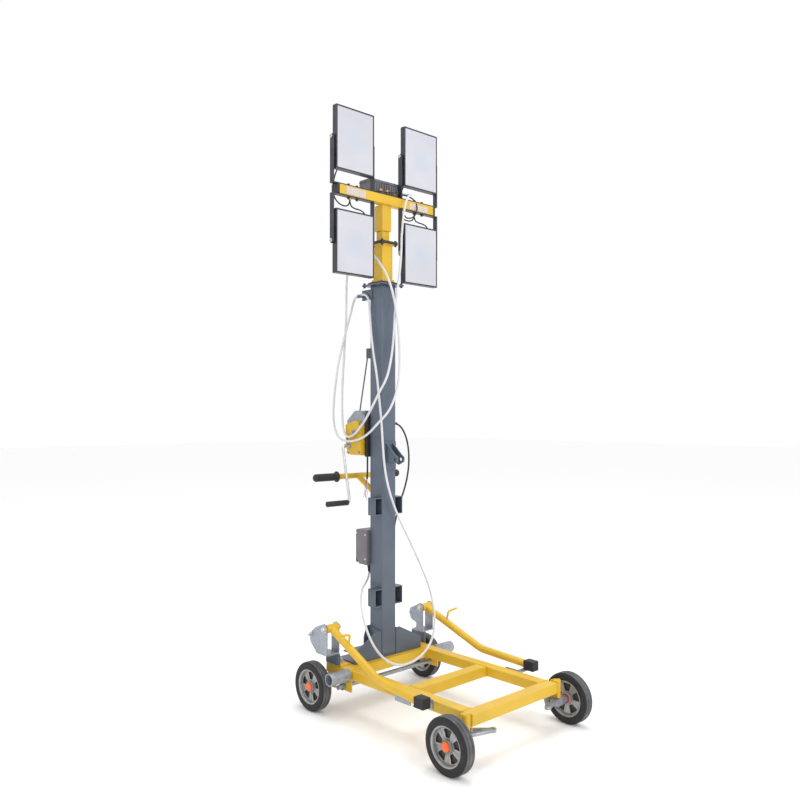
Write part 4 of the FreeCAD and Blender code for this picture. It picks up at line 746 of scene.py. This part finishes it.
# Head: the junction box's lid with ribs and studs, and the lamps' pivots and yoke bolts
LID_TOP = 2.250
RIB_COUNT = 11
RIB_REACH = 0.072
RIB_HALF = 0.0018
RIB_LOW, RIB_HIGH = 2.196, 2.243
lid = Shape().prism([rectangle(-0.084, 0.084, 0.304, 0.388, 0.010)], 0.004, at(0, 0, LID_TOP), bevel=0.001)
for index in range(RIB_COUNT):
    x = -RIB_REACH + 2 * RIB_REACH * index / (RIB_COUNT - 1)
    for low_y, high_y in ((0.3045, 0.309), (0.3835, 0.3875)):
        lid.box((x - RIB_HALF, low_y, RIB_LOW), (x + RIB_HALF, high_y, RIB_HIGH), bevel=0.0008)
lid.make("box_lid", "head", LID_PAINT, "black_paint")
studs = Shape()
for x in (-0.070, -0.024, 0.024, 0.070):
    for y in (0.313, 0.379):
        studs.bolt((x, y, LID_TOP + 0.0085), (0, 0, 1), across=0.008, head=0.004)
studs.make("box_studs", "head", STEEL, "zinc")

PIVOT_HEAD = [(0, 0), (8.2, 0), (8.2, 2.0), (7.0, 3.2), (4.0, 3.4), (3.6, 1.4), (0, 1.4)]
LEVELS = (
    # level, height of the pivots, height of the yoke's base, way that its bolts face
    ("upper", 2.384, 2.195, 1),
    ("lower", 1.950, 2.145, -1),
)
yoke_bolts = Shape()
for level, z, base_z, up in LEVELS:
    for side, sign in SIDES:
        pivots = Shape()
        for x, way in ((0.3085, 1), (0.0775, -1)):
            pivots.lathe(in_metres(PIVOT_HEAD), (sign * x, LAMP_Y, z), (sign * way, 0, 0), sides=40)
        pivots.make("pivot_heads_%s_%s" % (level, side), "lamp_%s_%s" % (level, side), STEEL, "zinc")
        for x in (0.170, 0.216):
            yoke_bolts.bolt((sign * x, LAMP_Y, base_z), (0, 0, up), across=0.011, head=0.006)
yoke_bolts.make("yoke_bolts", "head", BLACK_PAINT, "black_paint")


# Mast: black guides on the two flanges, their bolts, and the stop collar of the middle tube
FLANGE_TOP = 1.800
FLANGE_BOLTS = 0.0575
MIDDLE_BOLTS = 0.039
MIDDLE_HOLE = 0.0313


def square(half, corner=0.003):
    return rectangle(-half, half, -half, half, corner)


def hole(half, corner=0.002):
    return list(reversed(square(half, corner)))


def guide(outer, wrap, inner, low, high, cap=0.0016):
    """A black guide around a flange: a skin on its edge and a thin plate on top."""
    middle = at(0, MAST_Y, (low + high) / 2)
    skin = Shape().prism([square(outer), hole(wrap)], high - low, middle, bevel=0.0003)
    return skin.prism([square(outer), hole(inner)], cap, at(0, MAST_Y, high + cap / 2), bevel=0.0004)


mast_guide = guide(0.0476, 0.0461, 0.0326, 1.8003, 1.8080)
mast_guide.make("mast_guide", "cart", PLASTIC, "black_plastic")
middle_guide = guide(0.0472, 0.0461, 0.0222, 1.9752, 1.9870)
middle_guide.make("middle_guide", "middle_section", PLASTIC, "black_plastic")
collar = Shape()
collar.prism([square(0.0400), hole(MIDDLE_HOLE)], 0.004, at(0, MAST_Y, 1.8125), bevel=0.001)
collar.prism([square(0.0355), hole(MIDDLE_HOLE)], 0.008, at(0, MAST_Y, 1.8185), bevel=0.002)
collar.make("stop_collar", "middle_section", YELLOW, "yellow_paint")
mast_bolts = Shape()
for u in (-1, 0, 1):
    for v in (-1, 0, 1):
        if u or v:
            spot = (FLANGE_BOLTS * u, MAST_Y + FLANGE_BOLTS * v)
            mast_bolts.bolt((*spot, FLANGE_TOP), (0, 0, 1), across=0.010, head=0.006)
            mast_bolts.bolt((*spot, FLANGE_TOP - 0.006), (0, 0, -1), across=0.010, head=0.005)
mast_bolts.bolt((-0.0325, MAST_REAR + 0.018, 1.5), (-1, 0, 0), across=0.010, head=0.005)
mast_bolts.make("flange_bolts", "cart", BLACK_PAINT, "black_paint")
middle_bolts = Shape()
for u in (-1, 1):
    for v in (-1, 1):
        spot = (MIDDLE_BOLTS * u, MAST_Y + MIDDLE_BOLTS * v)
        middle_bolts.bolt((*spot, 1.9886), (0, 0, 1), across=0.009, head=0.005)
        middle_bolts.bolt((*spot, 1.9750), (0, 0, -1), across=0.009, head=0.005)
middle_bolts.make("middle_bolts", "middle_section", BLACK_PAINT, "black_paint")


# Winch: rope on the drum, bolts, bosses and spacers
DRUM = (0, 0.429, 1.150)
SHAFT = (0.460, 1.090)
TURNS = 11
PITCH = 6.4
COVER_X = -0.0762
PLATE_X = 0.054
coil = [(31.0, -36.5)]
for turn in range(TURNS):
    start = -35.2 + PITCH * turn
    coil += [(33.2, start), (36.0, start + 1.2), (37.2, start + PITCH / 2), (36.0, start + PITCH - 1.2)]
coil += [(33.2, 35.6), (31.0, 36.5)]
rope_turns = Shape().lathe(in_metres(coil), DRUM, (1, 0, 0), sides=64, closed=True)
rope_turns.make("rope_turns", "drum", ROPE, "rope")
winch_bits = Shape()
for y, z in ((0.388, 1.236), (0.488, 1.061)):
    winch_bits.rod((-0.0545, y, z), (0.0545, y, z), 0.0045)
    for way in (1, -1):
        winch_bits.bolt((way * PLATE_X, y, z), (way, 0, 0), across=0.012, head=0.006)
winch_bits.bolt((PLATE_X, DRUM[1], DRUM[2]), (1, 0, 0), across=0.018, head=0.008)
winch_bits.bolt((COVER_X, DRUM[1], DRUM[2]), (-1, 0, 0), across=0.016, head=0.006)
BOSS = [(9.4, 0), (14.5, 0), (14.5, 2.2), (13.0, 3.4), (9.4, 3.4)]
for x, way in ((-0.0760, -1), (0.0540, 1)):
    winch_bits.lathe(in_metres(BOSS), (x, *SHAFT), (way, 0, 0), sides=40, closed=True)
for y, z in ((0.390, 1.064), (0.390, 1.188), (0.470, 1.122)):
    winch_bits.bolt((COVER_X, y, z), (-1, 0, 0), across=0.008, head=0.004)
winch_bits.make("winch_bolts", "cart", ZINC, "zinc")


# Handle: moulded grips with a round flange and fine ribs
GRIP_START = 0.121
GRIP_LINE = (0.489, 0.953)
GRIP_RIBS = 14
RIB_START = 20
RIB_PITCH = 6.4
grip = [(0, 0.2), (12.7, 0), (23.2, 0), (24, 1.2), (24, 3.4), (22.8, 4.8), (18.4, 6.4), (16.2, 10),
        (16.0, 17)]
for index in range(GRIP_RIBS):
    start = RIB_START + RIB_PITCH * index
    grip += [(16.0, start), (16.9, start + 0.9), (16.9, start + 3.9), (16.0, start + 4.8)]
grip += [(16.0, 112), (17.0, 114), (16.6, 119), (13.8, 123), (8, 124.7), (0, 125)]
grips = Shape()
for side, sign in SIDES:
    grips.lathe(in_metres(grip), (sign * GRIP_START, *GRIP_LINE), (sign, 0, 0), sides=56)
grips.make("grips_ribbed", "cart", RUBBER, "black_plastic", replaces=("handle_grips",))


# Control box: cover and screws
cover = Shape().prism([rectangle(-0.056, 0.056, 0.574, 0.718, 0.009)], 0.003, at(0, 0.4342, 0, FACING_Y),
                      bevel=0.001)
cover.make("box_cover", "cart", BOX_PAINT, "box_paint")
SCREW = [(0, -0.5), (4.2, -0.5), (4.2, 0.8), (3.2, 2.2), (0, 2.6)]
screws = Shape()
for x, z in ((-0.048, 0.583), (0.048, 0.583), (-0.048, 0.709), (0.048, 0.709)):
    screws.lathe(in_metres(SCREW), (x, 0.4357, z), (0, 1, 0), sides=24)
for y, z in ((0.367, 0.702), (0.367, 0.596), (0.425, 0.706)):
    for side, sign in SIDES:
        screws.lathe(in_metres(SCREW), (sign * 0.060, y, z), (sign, 0, 0), sides=24)
screws.make("box_screws", "cart", STEEL, "zinc")


# Strain reliefs: each corner is (radius as a share of the cable's, distance along it in mm)
RELIEF = [(0, -2), (1.7, -2), (1.7, 2), (1.48, 5), (1.62, 6), (1.42, 9), (1.54, 10), (1.34, 13),
          (1.46, 14), (1.26, 18), (1.16, 24), (1.1, 30), (0, 30)]


def relief(name, body, exit_point, out, cable_radius):
    """A tapered, ribbed sleeve round a cable where it leaves its housing."""
    outline = [(radius * cable_radius * MM, along * MM) for radius, along in RELIEF]
    Shape().lathe(outline, exit_point, out, sides=32).make(name, body, PLASTIC, "black_plastic")


relief("relief_lower", "cart", (-0.015, 0.39175, 0.556), (0, 0, -1), 5.0)
relief("relief_black_low", "cart", (0.074, 0.382, 0.6764), (1, 0, 0), 4.0)
relief("relief_black_high", "cart", (0.054, 0.318, 1.190), (1, 0, 0), 4.0)
relief("relief_upper", "head", (0.098, 0.346, 2.2355), (1, 0, 0), 5.0)


# Cart: bolts and sleeves of the arm brackets and of the deck
SLEEVE_RING = [(0, 0), (13.5, 0), (13.5, 2.6), (12.4, 3.4), (0, 3.4)]
SLEEVE_THICK = 0.0034
CRADLE_KNOB = [(0, 0), (9, 0), (9, 2), (6, 5.4), (0, 6.4)]
CHEEKS = (0.243, 0.309)
PIVOT = (0.328, 0.343)
STOP = (0.424, 0.305)
DECK_TOP = 0.187
bright_bolts = Shape()
dark_bolts = Shape()
sleeves = Shape()
for side, sign in SIDES:
    low_x, high_x = sorted(sign * x for x in CHEEKS)
    sleeves.lathe(in_metres(SLEEVE_RING), (low_x, *PIVOT), (-1, 0, 0), sides=40)
    bright_bolts.bolt((low_x - SLEEVE_THICK, *PIVOT), (-1, 0, 0), across=0.017, head=0.009)
    bright_bolts.bolt((high_x, *PIVOT), (1, 0, 0), across=0.017, head=0.008)
    bright_bolts.lathe(in_metres(CRADLE_KNOB), (sign * 0.276, 0.378, 0.239), (0, 0, 1))
    bright_bolts.bolt((sign * 0.205, 0.350, DECK_TOP), (0, 0, 1), across=0.015, head=0.008)
    dark_bolts.bolt((sign * 0.169, 0.292, DECK_TOP), (0, 0, 1), across=0.013, head=0.007)
    bright_bolts.rod((sign * 0.205, 0.350, 0.194), (sign * 0.205, 0.350, 0.202), 0.0042)
bright_bolts.rod((-0.305, *STOP), (-0.326, *STOP), 0.005)
bright_bolts.bolt((-0.309, *STOP), (-1, 0, 0), across=0.013, head=0.007)
bright_bolts.make("cart_bolts", "cart", STEEL, "zinc")
dark_bolts.make("cart_bolts_dark", "cart", BLACK_PAINT, "black_paint")
sleeves.make("pivot_sleeves", "cart", BRASS, "aluminium")


# Cart: weld beads along the joints of the frame, the mast's base and its pockets
TOP, UNDER, RAIL_OUT, RAIL_IN = 0.183, 0.143, 0.247, 0.197
FRONT_END = -0.381
SLEEVE_WELD_X = 0.249
GUSSET_Y = 0.2775
THIN, HEAVY, HEAVY_STEP = 0.0024, 0.0036, 0.0055
yellow_welds = Shape()
for side, sign in SIDES:
    out_x, in_x, sleeve_x = sign * RAIL_OUT, sign * RAIL_IN, sign * SLEEVE_WELD_X
    yellow_welds.bead((out_x, FRONT_END, TOP), (in_x, FRONT_END, TOP), THIN)
    yellow_welds.bead((out_x, FRONT_END, TOP), (out_x, FRONT_END, UNDER), THIN)
    yellow_welds.bead((in_x, FRONT_END, TOP), (in_x, FRONT_END, UNDER), THIN)
    for near, far in ((-0.108, -0.058), (0.250, 0.300), (0.349, 0.399)):
        yellow_welds.bead((in_x, near, TOP), (in_x, far, TOP), THIN)
        yellow_welds.bead((in_x, near, TOP), (in_x, near, UNDER), THIN)
        yellow_welds.bead((in_x, far, TOP), (in_x, far, UNDER), THIN)
    for y in (-0.4285, -0.3975):
        yellow_welds.bead((sleeve_x, y, 0.126), (sleeve_x, y, 0.184), HEAVY, step=HEAVY_STEP)
    for y in (-0.428, -0.398):
        yellow_welds.bead((sleeve_x, y, 0.1865), (sign * 0.279, -0.413, 0.1865), 0.0034, step=HEAVY_STEP)
    for x in (0.218, 0.226):
        yellow_welds.bead((sign * x, 0.368, UNDER), (sign * x, 0.398, UNDER), THIN)
    yellow_welds.bead((sign * 0.2475, 0.228, 0.182), (sign * 0.2475, 0.298, 0.182), 0.0022)
yellow_welds.make("welds_yellow", "cart", YELLOW, "yellow_paint")
grey_welds = Shape()
for side, sign in SIDES:
    grey_welds.bead((sign * 0.0405, GUSSET_Y, 0.190), (sign * 0.0405, GUSSET_Y, 0.300), 0.0026)
    grey_welds.bead((sign * 0.0400, 0.3585, 0.190), (sign * 0.0400, 0.3585, 0.262), 0.0026)
    for z in (0.402, 0.478, 0.794, 0.870):
        grey_welds.bead((sign * 0.0405, 0.280, z), (sign * 0.0405, 0.322, z), 0.0018, step=0.0035)
    grey_welds.bead((sign * 0.036, GUSSET_Y, 0.994), (sign * 0.036, GUSSET_Y, 1.110), 0.0022)
grey_welds.make("welds_grey", "cart", GREY, "grey_paint")


# Stage and world
FLOOR_HALF = 30.0


def stage_plane():
    mesh = bpy.data.meshes.new("floor")
    corners = [(-FLOOR_HALF, -FLOOR_HALF, 0), (FLOOR_HALF, -FLOOR_HALF, 0), (FLOOR_HALF, FLOOR_HALF, 0),
               (-FLOOR_HALF, FLOOR_HALF, 0)]
    mesh.from_pydata(corners, [], [(0, 1, 2, 3)])
    floor = bpy.data.objects.new("floor", mesh)
    bpy.context.scene.collection.objects.link(floor)
    made = bpy.data.materials.new("floor_pale")
    made.use_nodes = True
    shader = made.node_tree.nodes["Principled BSDF"]
    shader.inputs["Base Color"].default_value = (0.97, 0.97, 0.97, 1)
    shader.inputs["Roughness"].default_value = 0.85
    mesh.materials.append(made)
    floor.location.z = cad_low[2]


stage_plane()
world = bpy.data.worlds.new("studio")
world.use_nodes = True
world.node_tree.nodes["Background"].inputs["Color"].default_value = (1.0, 1.0, 1.0, 1)
world.node_tree.nodes["Background"].inputs["Strength"].default_value = 1.0
bpy.context.scene.world = world
bpy.context.scene.view_settings.view_transform = "Standard"

# Lights: all face one point, a metre above the middle of the floor that the object covers
LIGHT_TARGET = (0, 0, 1.0)
LIGHTS = (
    # name, place, size, power
    ("key", (0.6, -4.6, 3.6), 2.4, 75),
    ("fill", (-4.5, 0.8, 2.2), 3.0, 8),
    ("top", (0.5, 0.4, 6.0), 3.0, 110),
)
for name, place, size, power in LIGHTS:
    light = bpy.data.lights.new(name, "AREA")
    light.shape = "SQUARE"
    light.size = size
    light.energy = power
    lamp = bpy.data.objects.new(name, light)
    lamp.location = place
    lamp.rotation_euler = (Vector(LIGHT_TARGET) - Vector(place)).to_track_quat("-Z", "Y").to_euler()
    bpy.context.scene.collection.objects.link(lamp)

# Camera: fitted to the photograph, whose focal length is given in its pixels
PHOTO_WIDTH = 800
FOCAL_PIXELS = 798.74
SENSOR = 36.0
yaw, pitch = math.radians(-42.82), math.radians(1.15)
camera_data = bpy.data.cameras.new("camera")
camera_data.sensor_width = SENSOR
camera_data.lens = FOCAL_PIXELS / PHOTO_WIDTH * SENSOR
camera = bpy.data.objects.new("camera", camera_data)
camera.location = (-2.3338, -2.3115, 1.2228)
ahead = Vector((-math.sin(yaw) * math.cos(pitch), math.cos(yaw) * math.cos(pitch), math.sin(pitch)))
camera.rotation_euler = ahead.to_track_quat("-Z", "Y").to_euler()
bpy.context.scene.collection.objects.link(camera)
bpy.context.scene.camera = camera
